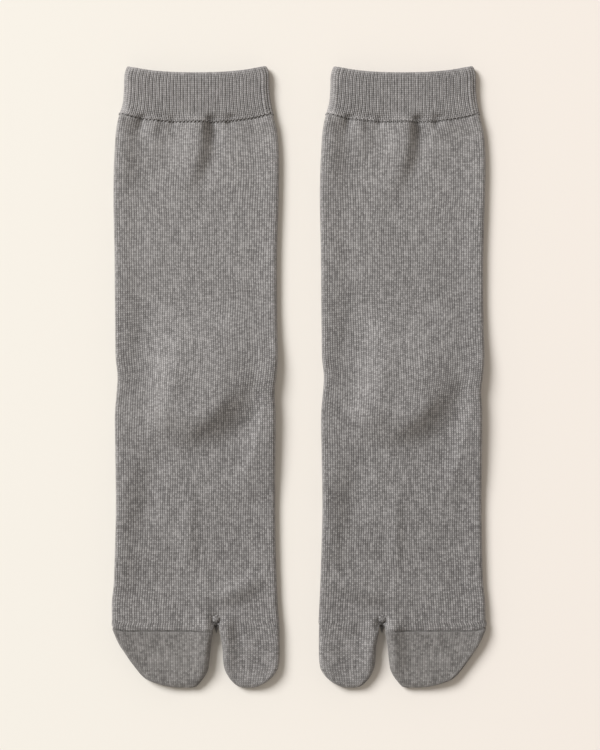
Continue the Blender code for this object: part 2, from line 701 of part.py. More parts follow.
def rib_relief(count):
    """Height of each of count + 1 points across ribs: down, up, up, down."""
    phase = np.arange(count + 1) % RIB_SPANS
    return np.where((phase == 1) | (phase == 2), RIB_HEIGHT, 0.0)


def cuff_row(wall, sock, level, share, ribbed):
    """One row of the cuff. share is how much of its height is left towards the rim."""
    low, high = sock.edges(level)
    radius = (CUFF_HEIGHT - RIB_HEIGHT) / 2.0
    x = np.linspace(low + radius, high - radius, RIBS * RIB_SPANS + 1)
    top_z = radius * (1.0 + share) + crown(x) * share + rib_relief(RIBS * RIB_SPANS) * ribbed
    back_x = np.linspace(low + radius, high - radius, CUFF_BACK_SPANS + 1)
    back_z = np.full(len(back_x), radius * (1.0 - share))
    half = FOLD_RIBS * RIB_SPANS
    angle = np.radians(np.concatenate([np.linspace(0.0, 90.0, half + 1)[1:], [120.0, 150.0]]))
    relief = np.concatenate([rib_relief(half)[1:], [0.0, 0.0]]) * ribbed
    reach_x = (radius + relief) * np.sin(angle)
    reach_z = (radius * share + relief) * np.cos(angle)
    high_x = x[-1] + reach_x
    low_x = x[0] - reach_x
    return Row(
        wall.add(x, sock.y(level, x), top_z),
        wall.add(high_x, sock.y(level, high_x), radius + reach_z),
        wall.add(back_x, sock.y(level, back_x), back_z),
        wall.add(low_x, sock.y(level, low_x), radius + reach_z),
    )


def cuff_hollow(wall, sock, level):
    """The plain hollow of the cuff on one row."""
    low, high = sock.edges(level)
    x = np.linspace(low + RIB_WALL, high - RIB_WALL, RIBS + 1)
    back_x = np.linspace(low + RIB_WALL, high - RIB_WALL, CUFF_BACK_SPANS + 1)
    middle = (CUFF_HEIGHT - RIB_HEIGHT) / 2.0
    top = (x, np.full(len(x), middle + CUFF_AIR / 2.0))
    back = (back_x, np.full(len(back_x), middle - CUFF_AIR / 2.0))
    return wall_row(wall, sock, level, top, back, (low, high), upright)


def cuff(sock, material):
    """The doubled rib welt: ribs raised on its face and folds, plain inside and underneath."""
    wall = Wall()
    rows = (
        (CUFF_TOP, 1.0 - RIM_FLATTEN, 0.5),
        (CUFF_TOP - CUFF_RIM, 1.0, 1.0),
        (CUFF_FOOT, 1.0, 0.8),
    )
    outer = [cuff_row(wall, sock, level, share, ribbed) for level, share, ribbed in rows]
    inner = [cuff_hollow(wall, sock, level) for level in (CUFF_TOP, CUFF_FOOT)]
    wall.tube(outer)
    wall.tube(inner)
    wall.rim(outer[0], inner[0])
    wall.rim(outer[-1], inner[-1])
    return sock.object("cuff", wall, material)


def clear_scene():
    """Remove whatever the scene holds."""
    for item in list(bpy.data.objects):
        bpy.data.objects.remove(item)


def build_pair():
    """Both socks: the right one at -X, its big toe inwards, and the left one at +X."""
    knit = knit_material("heather_knit", HEATHER)
    rib = knit_material("heather_rib", CUFF_HEATHER)
    toe_knit = knit_material("heather_toe", TOE_HEATHER)
    for sock in (Sock("right", -LEG_LINE, 1.0), Sock("left", LEG_LINE, -1.0)):
        cuff(sock, rib)
        leg_foot(sock, knit)
        heel(sock, knit)
        toe_cap(sock, toe_knit)


clear_scene()
build_pair()
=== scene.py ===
import math

import bpy
import numpy as np
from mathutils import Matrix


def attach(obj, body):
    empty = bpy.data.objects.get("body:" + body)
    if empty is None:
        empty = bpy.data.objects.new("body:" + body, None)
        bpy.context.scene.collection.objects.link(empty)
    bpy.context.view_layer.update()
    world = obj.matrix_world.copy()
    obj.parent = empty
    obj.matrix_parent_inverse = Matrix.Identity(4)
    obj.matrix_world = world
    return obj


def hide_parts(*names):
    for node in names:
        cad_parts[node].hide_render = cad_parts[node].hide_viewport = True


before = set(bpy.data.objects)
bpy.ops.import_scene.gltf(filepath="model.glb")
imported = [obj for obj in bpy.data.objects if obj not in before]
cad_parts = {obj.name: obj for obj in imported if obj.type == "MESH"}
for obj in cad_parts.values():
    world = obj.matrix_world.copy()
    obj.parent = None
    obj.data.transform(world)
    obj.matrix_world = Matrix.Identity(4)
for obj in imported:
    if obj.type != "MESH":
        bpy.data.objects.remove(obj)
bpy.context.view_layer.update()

# ----------------------------------
# The surface, the light and the camera. A plain cream board under one large soft light from the
# upper left, low enough to model the knit, with the room's warm light all round.
MM = 0.001
BOARD_SIZE = 4.0
# The board's colour at its left and at its right: the drift between them is painted fall-off of the
# light.
BOARD_LEFT = (0.835, 0.815, 0.765, 1.0)
BOARD_RIGHT = (0.835, 0.785, 0.742, 1.0)
PAINTED_FALLOFF_WIDTH = 0.34  # width over which the painted fall-off of the light darkens and warms the board from left to right
BOARD_ROUGHNESS = 0.85
BOARD_SHINE = 0.15
TOOTH_SCALE = 900.0
TOOTH_STRENGTH = 0.05
TOOTH_DEPTH = 0.1 * MM
KEY_FROM = (-0.78, 0.62)  # towards the light, seen from above
KEY_ELEVATION = math.radians(38.5)
KEY_DISTANCE = 16.0
KEY_SIZE = 8.0
KEY_POWER = 3050.0
KEY_COLOUR = (1.0, 1.0, 0.995)
ROOM_COLOUR = (1.0, 0.915, 0.81, 1.0)
ROOM_STRENGTH = 0.40
ROOM_TOP = 0.7  # share of it straight above; the rest comes from low down
PIXEL = 0.5145 * MM  # what one pixel of a 600 x 750 frame covers
FRAME_PIXELS = (600, 750)
FRAME_CENTRE = (0.39 * MM, 0.95 * MM)
FOCUS_HEIGHT = 2.2 * MM
LENS = 100.0
SENSOR = 36.0


def math_node(nodes, links, operation, *values):
    """One Math node, its inputs linked to sockets or set to numbers."""
    node = nodes.new("ShaderNodeMath")
    node.operation = operation
    for socket, value in zip(node.inputs, values):
        if isinstance(value, (int, float)):
            socket.default_value = value
        else:
            links.new(value, socket)
    return node.outputs[0]


def matt_material(name, roughness, shine, strength, depth):
    """A matt material whose surface is raised by a Bump node: itself, its shader and the bump."""
    material = bpy.data.materials.new(name)
    material.use_nodes = True
    nodes = material.node_tree.nodes
    shader = nodes["Principled BSDF"]
    shader.inputs["Roughness"].default_value = roughness
    shader.inputs["Specular IOR Level"].default_value = shine
    bump = nodes.new("ShaderNodeBump")
    bump.inputs["Strength"].default_value = strength
    bump.inputs["Distance"].default_value = depth
    material.node_tree.links.new(bump.outputs["Normal"], shader.inputs["Normal"])
    return material, shader, bump


def lay_board():
    """The board: one big square face at z = 0, with a paper tooth, and painted fall-off of the
    light that leaves it darker and rosier to the right.
    """
    half = BOARD_SIZE / 2.0
    corners = [(-half, -half, 0.0), (half, -half, 0.0), (half, half, 0.0), (-half, half, 0.0)]
    mesh = bpy.data.meshes.new("board")
    mesh.from_pydata(corners, [], [(0, 1, 2, 3)])
    board = bpy.data.objects.new("board", mesh)
    bpy.context.collection.objects.link(board)
    material, shader, bump = matt_material(
        "cream_board", BOARD_ROUGHNESS, BOARD_SHINE, TOOTH_STRENGTH, TOOTH_DEPTH)
    nodes = material.node_tree.nodes
    links = material.node_tree.links
    place = nodes.new("ShaderNodeTexCoord")
    split = nodes.new("ShaderNodeSeparateXYZ")
    links.new(place.outputs["Object"], split.inputs[0])
    across = math_node(nodes, links, "MULTIPLY_ADD", split.outputs[0], 1.0 / PAINTED_FALLOFF_WIDTH, 0.5)
    painted_falloff = nodes.new("ShaderNodeMix")
    painted_falloff.data_type = "RGBA"
    painted_falloff.inputs["A"].default_value = BOARD_LEFT
    painted_falloff.inputs["B"].default_value = BOARD_RIGHT
    links.new(across, painted_falloff.inputs["Factor"])
    links.new(painted_falloff.outputs["Result"], shader.inputs["Base Color"])
    tooth = nodes.new("ShaderNodeTexNoise")
    tooth.inputs["Scale"].default_value = TOOTH_SCALE
    links.new(place.outputs["Object"], tooth.inputs["Vector"])
    links.new(tooth.outputs["Fac"], bump.inputs["Height"])
    mesh.materials.append(material)


def light_board():
    """The key light aimed at the middle of the pair, and the room's own light.

    The room gives ROOM_STRENGTH (ROOM_TOP + 6 (1 - ROOM_TOP) (1 - z)^2) from the direction whose
    upward part is z, which lays as much light on the board for any ROOM_TOP.
    """
    lamp = bpy.data.lights.new("window", "AREA")
    lamp.shape = "DISK"
    lamp.size = KEY_SIZE
    lamp.energy = KEY_POWER
    lamp.color = KEY_COLOUR
    window = bpy.data.objects.new("window", lamp)
    flat = math.cos(KEY_ELEVATION) * KEY_DISTANCE
    up = math.sin(KEY_ELEVATION) * KEY_DISTANCE
    window.location = (KEY_FROM[0] * flat, KEY_FROM[1] * flat, up)
    window.rotation_euler = (-window.location).to_track_quat("-Z", "Y").to_euler()
    bpy.context.collection.objects.link(window)
    room = bpy.data.worlds.new("room")
    room.use_nodes = True
    nodes = room.node_tree.nodes
    links = room.node_tree.links
    direction = nodes.new("ShaderNodeTexCoord")
    height = nodes.new("ShaderNodeSeparateXYZ")
    links.new(direction.outputs["Generated"], height.inputs[0])
    low = math_node(nodes, links, "SUBTRACT", 1.0, height.outputs["Z"])
    low = math_node(nodes, links, "POWER", low, 2.0)
    low_strength = 6.0 * (1.0 - ROOM_TOP) * ROOM_STRENGTH
    glow = math_node(nodes, links, "MULTIPLY_ADD", low, low_strength, ROOM_TOP * ROOM_STRENGTH)
    background = nodes["Background"]
    background.inputs["Color"].default_value = ROOM_COLOUR
    links.new(glow, background.inputs["Strength"])
    bpy.context.scene.world = room


def set_camera():
    """A long lens straight above, so far up that the frame covers its pixels at FOCUS_HEIGHT."""
    camera = bpy.data.cameras.new("overhead")
    camera.lens = LENS
    camera.sensor_width = SENSOR
    above = bpy.data.objects.new("overhead", camera)
    reach = FRAME_PIXELS[1] * PIXEL * LENS / SENSOR
    above.location = (*FRAME_CENTRE, FOCUS_HEIGHT + reach)
    bpy.context.collection.objects.link(above)
    bpy.context.scene.camera = above
    bpy.context.scene.view_settings.view_transform = "Standard"


lay_board()
light_board()
set_camera()

# ----------------------------------
# Leg and foot: one seamless tube of plain knit from the cuff over the instep and the sole. It
# parts at the cleft into the big-toe stall, which is knitted to its tip, and a short mouth that
# the toe cap is linked to. Laid flat, the turned heel underneath lifts the instep.
LEG_LINE = 53.05  # from the middle of the pair; a sock's own places are in mm from this line
LEG_TOP = 134.75
CUFF_FOOT = 135.05
# A row of stitches hangs in an arc at the cuff and slants across the ankle.
CUFF_ARC = 3.9
ARC_HALF = 37.5
ARC_POWER = 2.5
ARC_FADES_AT = 98.0
HEEL_LEVEL = 8.1
HEEL_SLANT = 8.2
HEEL_SLANT_HALF = 41.0
HEEL_SLANT_REACH = 46.0
LITTLE_TOE_SWELL = 0.6
LITTLE_TOE_Y = -116.0
LITTLE_TOE_REACH = 12.0
# Half-outlines of the laid tube about the leg line: y, left edge, right edge.
TUBE_OUTLINE = np.array([
    (160.3, -35.4, 36.1),
    (157.0, -36.5, 37.2),
    (147.6, -37.1, 37.6),
    (139.9, -37.9, 38.5),
    (133.2, -39.8, 40.0),
    (127.0, -41.0, 41.6),
    (116.7, -41.8, 42.6),
    (96.1, -42.5, 42.6),
    (65.3, -42.0, 41.7),
    (24.1, -41.6, 41.8),
    (8.7, -41.3, 42.1),
    (-0.6, -40.4, 41.3),
    (-5.7, -40.7, 40.6),
    (-17.1, -41.7, 41.0),
    (-37.6, -41.6, 40.9),
    (-68.5, -41.2, 40.7),
    (-89.1, -41.7, 41.0),
    (-109.7, -42.4, 41.7),
    (-118.0, -42.8, 42.1),
    (-128.2, -43.3, 43.0),
])
LAID = 4.0  # thickness of the laid tube
PLAIN_WALL = 1.3
# Where the tube is thicker, at the cuff and at the toes: by how much, from which y, how soon.
RISES = ((0.9, 123.0, 10.0), (1.1, -110.0, -26.0))
# The folded sides spring up outside two inner lines. RIGHT_RISE goes by the big toe's side.
LEFT_RISE = 1.3
LEFT_DROP = 0.7  # share of it lost beside the heel
LEFT_INNER = -28.0
RIGHT_RISE = {1: 0.8, -1: 1.1}
RIGHT_DROP = 0.4  # share of it lost at the toes
RIGHT_INNER = 29.0
RISE_REACH = 12.5
HEEL_HOLLOW = -30.0
HEEL_HOLLOW_HALF = 39.1
HEEL_HOLLOW_REACH = 34.0
TOES_FROM = -116.0
TOES_REACH = 14.0
# The bed of the folded heel pocket in the sole, and the bulge that it makes in the instep.
POCKET_RECESS = 2.9
RECESS_OUTSIDE = 3.0
RECESS_INSIDE = 0.6
RECESS_STEP = 0.6
RECESS_TIP_RAMP = 4.2
BULGE = 6.6
# The cleft, the toe seam and the toes.
CLEFT_X = 10.4
CLEFT_APEX = -127.2
CLEFT_OPENS = 12.0  # length over which the toes beside it grow round
CROTCH_REACH = 1.2
WEB_REACH = 6.8  # how far down the slit the web between the toes comes at the sole; the web is real, but its long low-lying end is a dark sheet standing in for the shade in the slit
WEB_FROM = 0.4  # share of the way down the cleft's wall where the web begins
WEB_RAMP = 0.35
TOE_SEAM = -130.6
TOE_SEAM_RISE = 2.0
TOE_SEAM_CORNER = 9.0
TOE_SEAM_REACH = 12.0
SEAM_GAP = 0.3
OUTER_EDGE = -43.0
TOE_TIP = -159.94
TOE_LAST_ROW = TOE_TIP + 0.004
TIP_FROM = -150.0  # where a toe's rows begin to close up on its tip
TIP_ROLL = 4.2
TOE_ROWS = 22
BIG_TOE_TIP_ROWS = 16
CLEFT_ROLL = 0.5
BIG_TOE_ROLL = 2.6
CAP_ROLL = 3.2
FOLD_SHARE = 0.86  # how far out on its roll a toe's upper face goes before its side turns under
ROLL_SHARE = 0.35  # most of a form's width that one side's roll takes
LEAST_SHARE = 0.0004  # square of the share of a rolled form's thickness left at its edge
# The hollow above the cleft, x, y and radius, and the knot in it, x, y and z.
PIT = (10.5, -126.4, 3.1)
PIT_DEPTH = 3.7
KNOT = (10.4, -124.2, 3.3)
KNOT_SIZE = (2.1, 2.1, 1.6)
KNOT_RINGS = 15
KNOT_COLUMNS = 25
KNOT_END = 0.03  # angle left open at its top and bottom
# The knit: wales on each side of the cleft's line and around a folded side, and their relief.
WALES_OUTER = 42
WALES_INNER = 24
WALES_FOLD = 6
WALE_COLUMNS = 4
FOLD_COLUMNS = WALES_FOLD * WALE_COLUMNS
COURSE = 0.95
WALE_DEPTH = 0.10
WALE_POWER = 2.2
WALE_BEND = 1.4  # length over which a wale turns to run along a toe's edge
WALES_STRAIGHT = 0.92  # how nearly the toes' other wales run straight on, 1 for quite
WALE_DRIFT = 0.4
DRIFT_WAVES = ((7.3, 9.1, 0.0), (17.0, -13.0, 1.0))  # length down, length across, phase
DRIFT_FADE = 9.0
DRIFT_STOPS = 3.0
DRIFT_STOPS_OVER = 12.0
TOE_GROOVE_SHADE_OFF = 0.35  # how much of the painted shade between the wales is left off on the big toe
# The heather yarn: how its stitches slant, and how fast its shade changes across and along.
STITCH_SLANT = 0.55
STREAK_RATE = (0.61, 0.10)
THREAD_RATE = (0.45, 3.71)
# Painted shade in the grooves between the wales and, by GAP_SHARE, between the courses:
VALLEY_RATE = (5.37, 0.09)
VALLEY_SWING = (0.9, 0.55)
VALLEY_POWER = 3.0
GAP_POWER = 4.0
GAP_SHARE = 0.6
PATCH_SCALE = 55.0
HALF_LENGTH = 0.16  # metres from the middle of the pair at which the painted fall-off of the light towards the toes is full
HALF_APART = 0.053  # the same for the painted fall-off of the light to the right
STITCH_ROUND = 2.5
LOOP_RISE = 0.55
YARN_ROUGHNESS = 0.92
YARN_SHINE = 0.2
FUZZ = {"Sheen Weight": 0.4, "Sheen Roughness": 0.5, "Sheen Tint": (1.0, 0.98, 0.95, 1.0)}
# Rows down the leg: the level that a span ends on, and how many rows it has.
LEG_SPANS = ((96.0, 26), (42.0, 20), (HEEL_LEVEL, 17), (HEEL_LEVEL - RECESS_STEP, 2),
             (-42.0, 28), (-92.0, 18), (-116.0, 12), (CLEFT_APEX + CROTCH_REACH, 16))
# Turned-in edges: level, for the leg's from LEG_TOP, and how far inside the outer face.
LEG_LIP = np.array([(-3.0, PLAIN_WALL), (-0.5, PLAIN_WALL), (0.0, 0.8), (-0.1, 0.4), (-0.45, 0.12)])
CAP_MOUTH = np.array([
    (CLEFT_APEX - 0.6, 0.0), (CLEFT_APEX - 1.4, 0.0), (TOE_SEAM + 1.2, 0.0), (TOE_SEAM + 0.7, 0.12),
    (TOE_SEAM + 0.3, 0.5), (TOE_SEAM + SEAM_GAP / 2.0, 1.0), (TOE_SEAM + 2.0, PLAIN_WALL),
])
# The toes with the big toe towards +x: y, low edge, high edge.
BIG_TOE = np.array([
    (-127.2, 11.6, 42.9),
    (-131.0, 12.1, 43.0),
    (-135.4, 12.9, 43.0),
    (-138.5, 13.5, 43.0),
    (-141.6, 13.7, 43.0),
    (-144.7, 13.8, 42.9),
    (-147.7, 14.1, 42.6),
    (-150.5, 14.8, 41.9),
    (-152.5, 15.6, 40.7),
    (-154.6, 16.9, 39.0),
    (-156.3, 18.2, 37.0),
    (-157.6, 19.5, 35.1),
    (-158.8, 21.1, 32.8),
    (-159.5, 22.7, 31.0),
    (-159.94, 24.6, 28.8),
])
TOE_CAP = np.array([
    (-127.2, -43.3, 9.3),
    (-130.6, -43.2, 8.9),
    (-132.3, -42.6, 8.7),
    (-135.4, -41.0, 8.2),
    (-138.5, -39.1, 7.7),
    (-141.6, -36.9, 7.4),
    (-147.0, -33.2, 6.8),
    (-150.5, -30.5, 6.2),
    (-153.5, -28.0, 4.8),
    (-155.8, -25.0, 3.2),
    (-157.3, -21.3, 2.0),
    (-158.6, -16.8, 0.8),
    (-159.5, -12.3, -0.5),
    (-159.94, -8.3, -2.7),
])
# The folded heel pocket: level, left edge, right edge.
HEEL_POCKET = np.array([
    (8.1, -16.2, 25.0),
    (0.0, -17.6, 28.6),
    (-8.0, -18.8, 26.0),
    (-16.0, -19.4, 20.6),
    (-22.0, -18.6, 16.4),
    (-26.0, -16.4, 13.0),
    (-29.0, -12.8, 9.8),
    (-31.0, -8.6, 6.8),
])
# Slopes of the instep's bulge: a line from x0, y0 to x1, y1, where it starts and ends across it,
# and the share of the bulge that it takes off.
BULGE_SLOPES = (
    (-12.4, 39.5, -22.7, -27.3, 7.0, 9.0, 1.0),
    (-39.2, -21.0, 4.6, -32.0, 9.5, 12.5, 1.0),
    (-4.5, -41.5, 30.8, -6.2, 11.0, 8.0, 1.0),
    (22.6, -22.2, 24.6, 29.2, 14.0, 14.0, 0.65),
    (48.3, 20.0, -39.2, 20.0, 22.0, 24.0, 1.0),
)
# Folds: x0, y0, x1, y1, bow, width to the left and right of the way down, height, head and tail.
# Troughs have a negative height.
LEG_FOLDS = (
    (3.0, 133.2, -15.5, 83.8, 5.0, 10.0, 6.0, 3.7, 0.06, 0.85),
    (7.4, 134.6, 8.0, 115.0, 0.0, 2.8, 3.0, -2.5, 0.08, 0.60),
    (10.2, 131.0, -1.0, 92.0, 2.5, 5.0, 5.0, -1.6, 0.15, 0.50),
    (17.7, 134.6, 17.9, 124.5, 0.0, 2.8, 2.8, -1.9, 0.10, 0.60),
    (-11.5, 134.6, -11.5, 126.0, 0.0, 2.3, 2.3, -1.4, 0.12, 0.60),
    (-17.3, 134.6, -19.6, 120.0, 0.0, 2.2, 2.2, -0.8, 0.10, 0.60),
    (-27.3, 134.6, -28.5, 124.0, 0.0, 2.3, 2.3, -1.7, 0.10, 0.60),
    (-19.0, 133.2, -24.8, 107.5, 0.0, 5.0, 5.0, 1.7, 0.08, 0.75),
    (15.0, 133.2, 18.4, 116.7, 0.0, 4.0, 6.5, 0.8, 0.10, 0.70),
    (-37.1, 135.0, -37.8, 90.0, 0.0, 5.0, 7.5, 2.2, 0.06, 0.60),
    (-23.7, 44.7, -30.9, -4.2, 0.0, 6.0, 6.0, -0.8, 0.30, 0.50),
    (-22.2, -43.8, -25.8, -86.5, 0.0, 7.0, 7.0, -1.8, 0.30, 0.50),
    (-37.4, -46.0, -38.0, -114.0, 0.0, 5.0, 8.0, 1.2, 0.25, 0.40),
    (36.0, 2.0, 19.0, -67.0, 5.0, 5.0, 12.0, 2.6, 0.25, 0.35),
    (-8.0, -31.0, 21.0, -4.0, 0.0, 6.0, 10.0, 1.6, 0.30, 0.40),
    (-3.4, -62.0, -3.4, -107.1, 0.0, 4.0, 3.5, 1.2, 0.30, 0.50),
    (-13.4, 24.1, -18.6, -27.3, 0.0, 6.0, 9.0, 0.9, 0.40, 0.40),
)
TOE_FOLDS = (
    (10.2, -112.8, 39.0, -97.8, -2.0, 5.5, 4.6, 2.7, 0.25, 0.50),
    (4.0, -106.6, 5.1, -135.4, 0.0, 6.4, 3.4, 1.3, 0.40, 0.30),
    (5.8, -126.0, 3.0, -158.0, 0.0, 5.0, 4.6, 2.6, 0.12, 0.45),
    (14.8, -124.5, 17.4, -156.0, 0.0, 4.0, 4.0, 2.3, 0.10, 0.45),
    (21.5, -124.0, 22.0, -144.0, 0.0, 2.8, 3.4, -0.6, 0.30, 0.60),
)


def soft(share):
    """0 below 0, 1 above 1, 3s^2 - 2s^3 between."""
    share = np.clip(share, 0.0, 1.0)
    return share * share * (3.0 - 2.0 * share)


def through(table, column, at):
    """A table's column read at y: cubic curves through its rows, with the rows' mean slopes."""
    stations = table[::-1, 0]
    values = table[::-1, column]
    slopes = np.gradient(values, stations)
    at = np.clip(at, stations[0], stations[-1])
    i = np.clip(np.searchsorted(stations, at) - 1, 0, len(stations) - 2)
    width = stations[i + 1] - stations[i]
    t = (at - stations[i]) / width
    rise = values[i + 1] - values[i]
    bend = t * (1 - t) * ((1 - t) * (slopes[i] * width - rise) - t * (slopes[i + 1] * width - rise))
    return values[i] + rise * t + bend


def row_y(level, x):
    """y of a knitted row: level, minus an arc at the cuff, plus a slant at the heel."""
    reach = np.clip(np.abs(x) / ARC_HALF, 0.0, 1.0)
    faded = soft((level - ARC_FADES_AT) / (CUFF_FOOT - ARC_FADES_AT))
    sag = CUFF_ARC * (1.0 - reach**ARC_POWER) * faded
    slant = soft(1.0 - np.abs(level - HEEL_LEVEL) / HEEL_SLANT_REACH)
    return level - sag + HEEL_SLANT * x / HEEL_SLANT_HALF * slant


def tube_edges(level, toe_side):
    """x of the tube's two edges on its rows, big toe towards +x, swollen at the little toe."""
    left = through(TUBE_OUTLINE, 1, row_y(level, -HEEL_SLANT_HALF))
    right = through(TUBE_OUTLINE, 2, row_y(level, HEEL_SLANT_HALF))
    swell = LITTLE_TOE_SWELL * soft(1.0 - np.abs(level - LITTLE_TOE_Y) / LITTLE_TOE_REACH)
    return (left - swell, right) if toe_side > 0 else (-right - swell, -left)


def wale_ridge(u):
    """Height of a wale's ridge, 0 to 1: 1 - |2 frac(u) - 1|^WALE_POWER."""
    return 1.0 - np.abs(2.0 * (u - np.floor(u)) - 1.0) ** WALE_POWER


def round_tube(row, x, top, bottom, edges, inset, fold_columns, turned=0.0):
    """Points and outward normals around laid rows, each (rows, columns, 3).

    row(x) gives y for whole arrays. The top runs from low x to high x at z = top - inset, the
    bottom back at z = bottom + inset, and each fold is the ellipse between their ends,
    x = start + (edge - start) sin a, z = middle + half cos a, from a = turned to 180 deg - turned,
    that reaches its edge less inset.
    """
    top = top - inset
    bottom = bottom + inset
    angle = turned + (np.pi - 2.0 * turned) * np.arange(1, fold_columns) / fold_columns
    sides = []
    for end, edge in ((-1, edges[1] - inset), (0, edges[0] + inset)):
        start = (x[:, [end]] - edge * np.sin(turned)) / (1.0 - np.sin(turned))
        middle = (top[:, [end]] + bottom[:, [end]]) / 2.0
        half = (top[:, [end]] - bottom[:, [end]]) / 2.0 / np.cos(turned)
        side_x = start + (edge - start) * np.sin(angle)
        side_z = middle + half * np.cos(angle)
        out = np.sign(edge - start) * np.sin(angle)
        sides.append((side_x, side_z, out, np.cos(angle) + 0.0 * out))
    (high_x, high_z, high_nx, high_nz), (low_x, low_z, low_nx, low_nz) = sides
    up = np.ones_like(x)
    ring_x = np.hstack([x, high_x, x[:, ::-1], low_x[:, ::-1]])
    ring_z = np.hstack([top, high_z, bottom[:, ::-1], low_z[:, ::-1]])
    normal_x = np.hstack([0.0 * up, high_nx, 0.0 * up, low_nx[:, ::-1]])
    normal_z = np.hstack([up, high_nz, -up, low_nz[:, ::-1]])
    points = np.stack([ring_x, row(ring_x), ring_z], axis=-1)
    normals = np.stack([normal_x, np.zeros_like(normal_x), normal_z], axis=-1)
    return points, normals


def ring_wales(top_columns, fold_columns, per_wale=WALE_COLUMNS, first=0.0):
    """Wale number of each column around a ring, and of the first column again at the end."""
    top = np.arange(top_columns) / per_wale
    turn = top[-1] + np.arange(1, fold_columns + 1) / per_wale
    back = turn[-1] + np.arange(top_columns) / per_wale
    last = back[-1] + np.arange(1, fold_columns + 1) / per_wale
    return first + np.hstack([top, turn[:-1], back, last])


class Cloth:
    """Grids of quads joined into one mesh, with a UV that counts wales across and courses down.

    Its point attribute is 1 where the painted shade between the wales is left off, and 0 elsewhere.
    """

    def __init__(self):
        self.points = []
        self.groove_shade_off = []
        self.quads = []
        self.corners = []
        self.count = 0

    def add(self, points, groove_shade_off=0.0):
        """Add points and return their numbers, in the same layout."""
        numbers = self.count + np.arange(points[..., 0].size).reshape(points.shape[:-1])
        self.points.append(points.reshape(-1, 3))
        self.groove_shade_off.append(np.broadcast_to(groove_shade_off, numbers.shape).ravel())
        self.count += numbers.size
        return numbers

    def tube(self, numbers, wales, courses):
        """Quads between rows of a closed ring: (i, j), (i + 1, j), (i + 1, j + 1), (i, j + 1)."""
        on = np.roll(numbers, -1, axis=1)
        quad = np.stack([numbers[:-1], numbers[1:], on[1:], on[:-1]], axis=-1)
        uv = np.stack(np.broadcast_arrays(wales[None, :], courses[:, None]), axis=-1)
        corner = np.stack([uv[:-1, :-1], uv[1:, :-1], uv[1:, 1:], uv[:-1, 1:]], axis=-2)
        self.quads.append(quad.reshape(-1, 4))
        self.corners.append(corner.reshape(-1, 4, 2))

    def close(self, ring, width, fold_columns, wales, course):
        """Quads between a last ring's top and bottom, each width points across: shuts a tip."""
        top = ring[:width]
        bottom = ring[width + fold_columns - 1:][:width][::-1]
        wales = wales[:width]
        quad = np.stack([top[:-1], bottom[:-1], bottom[1:], top[1:]], axis=-1)
        self.quads.append(quad)
        uv = np.empty(quad.shape + (2,))
        uv[:, :2, 0] = wales[:-1, None]
        uv[:, 2:, 0] = wales[1:, None]
        uv[..., 1] = course
        self.corners.append(uv)

    def finish(self, name, leg_line, toe_side, material):
        """The mesh object, in metres, turned to the sock's own side."""
        points = np.vstack(self.points) * (toe_side, 1.0, 1.0) + (leg_line, 0.0, 0.0)
        quads = np.vstack(self.quads)
        corners = np.vstack(self.corners)
        if toe_side < 0:
            quads = quads[:, ::-1]
            corners = corners[:, ::-1]
        mesh = bpy.data.meshes.new(name)
        mesh.vertices.add(len(points))
        mesh.vertices.foreach_set("co", (points * MM).ravel())
        mesh.loops.add(quads.size)
        mesh.loops.foreach_set("vertex_index", quads.ravel())
        mesh.polygons.add(len(quads))
        mesh.polygons.foreach_set("loop_start", np.arange(0, quads.size, 4))
        mesh.uv_layers.new(name="stitches")
        mesh.uv_layers["stitches"].uv.foreach_set("vector", corners.ravel())
        groove_shade_off = mesh.attributes.new("groove_shade_off", "FLOAT", "POINT")
        groove_shade_off.data.foreach_set("value", np.hstack(self.groove_shade_off))
        mesh.update(calc_edges=True)
        mesh.validate()
        mesh.shade_smooth()
        mesh.materials.append(material)
        piece = bpy.data.objects.new(name, mesh)
        bpy.context.collection.objects.link(piece)
        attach(piece, "root")
        return piece


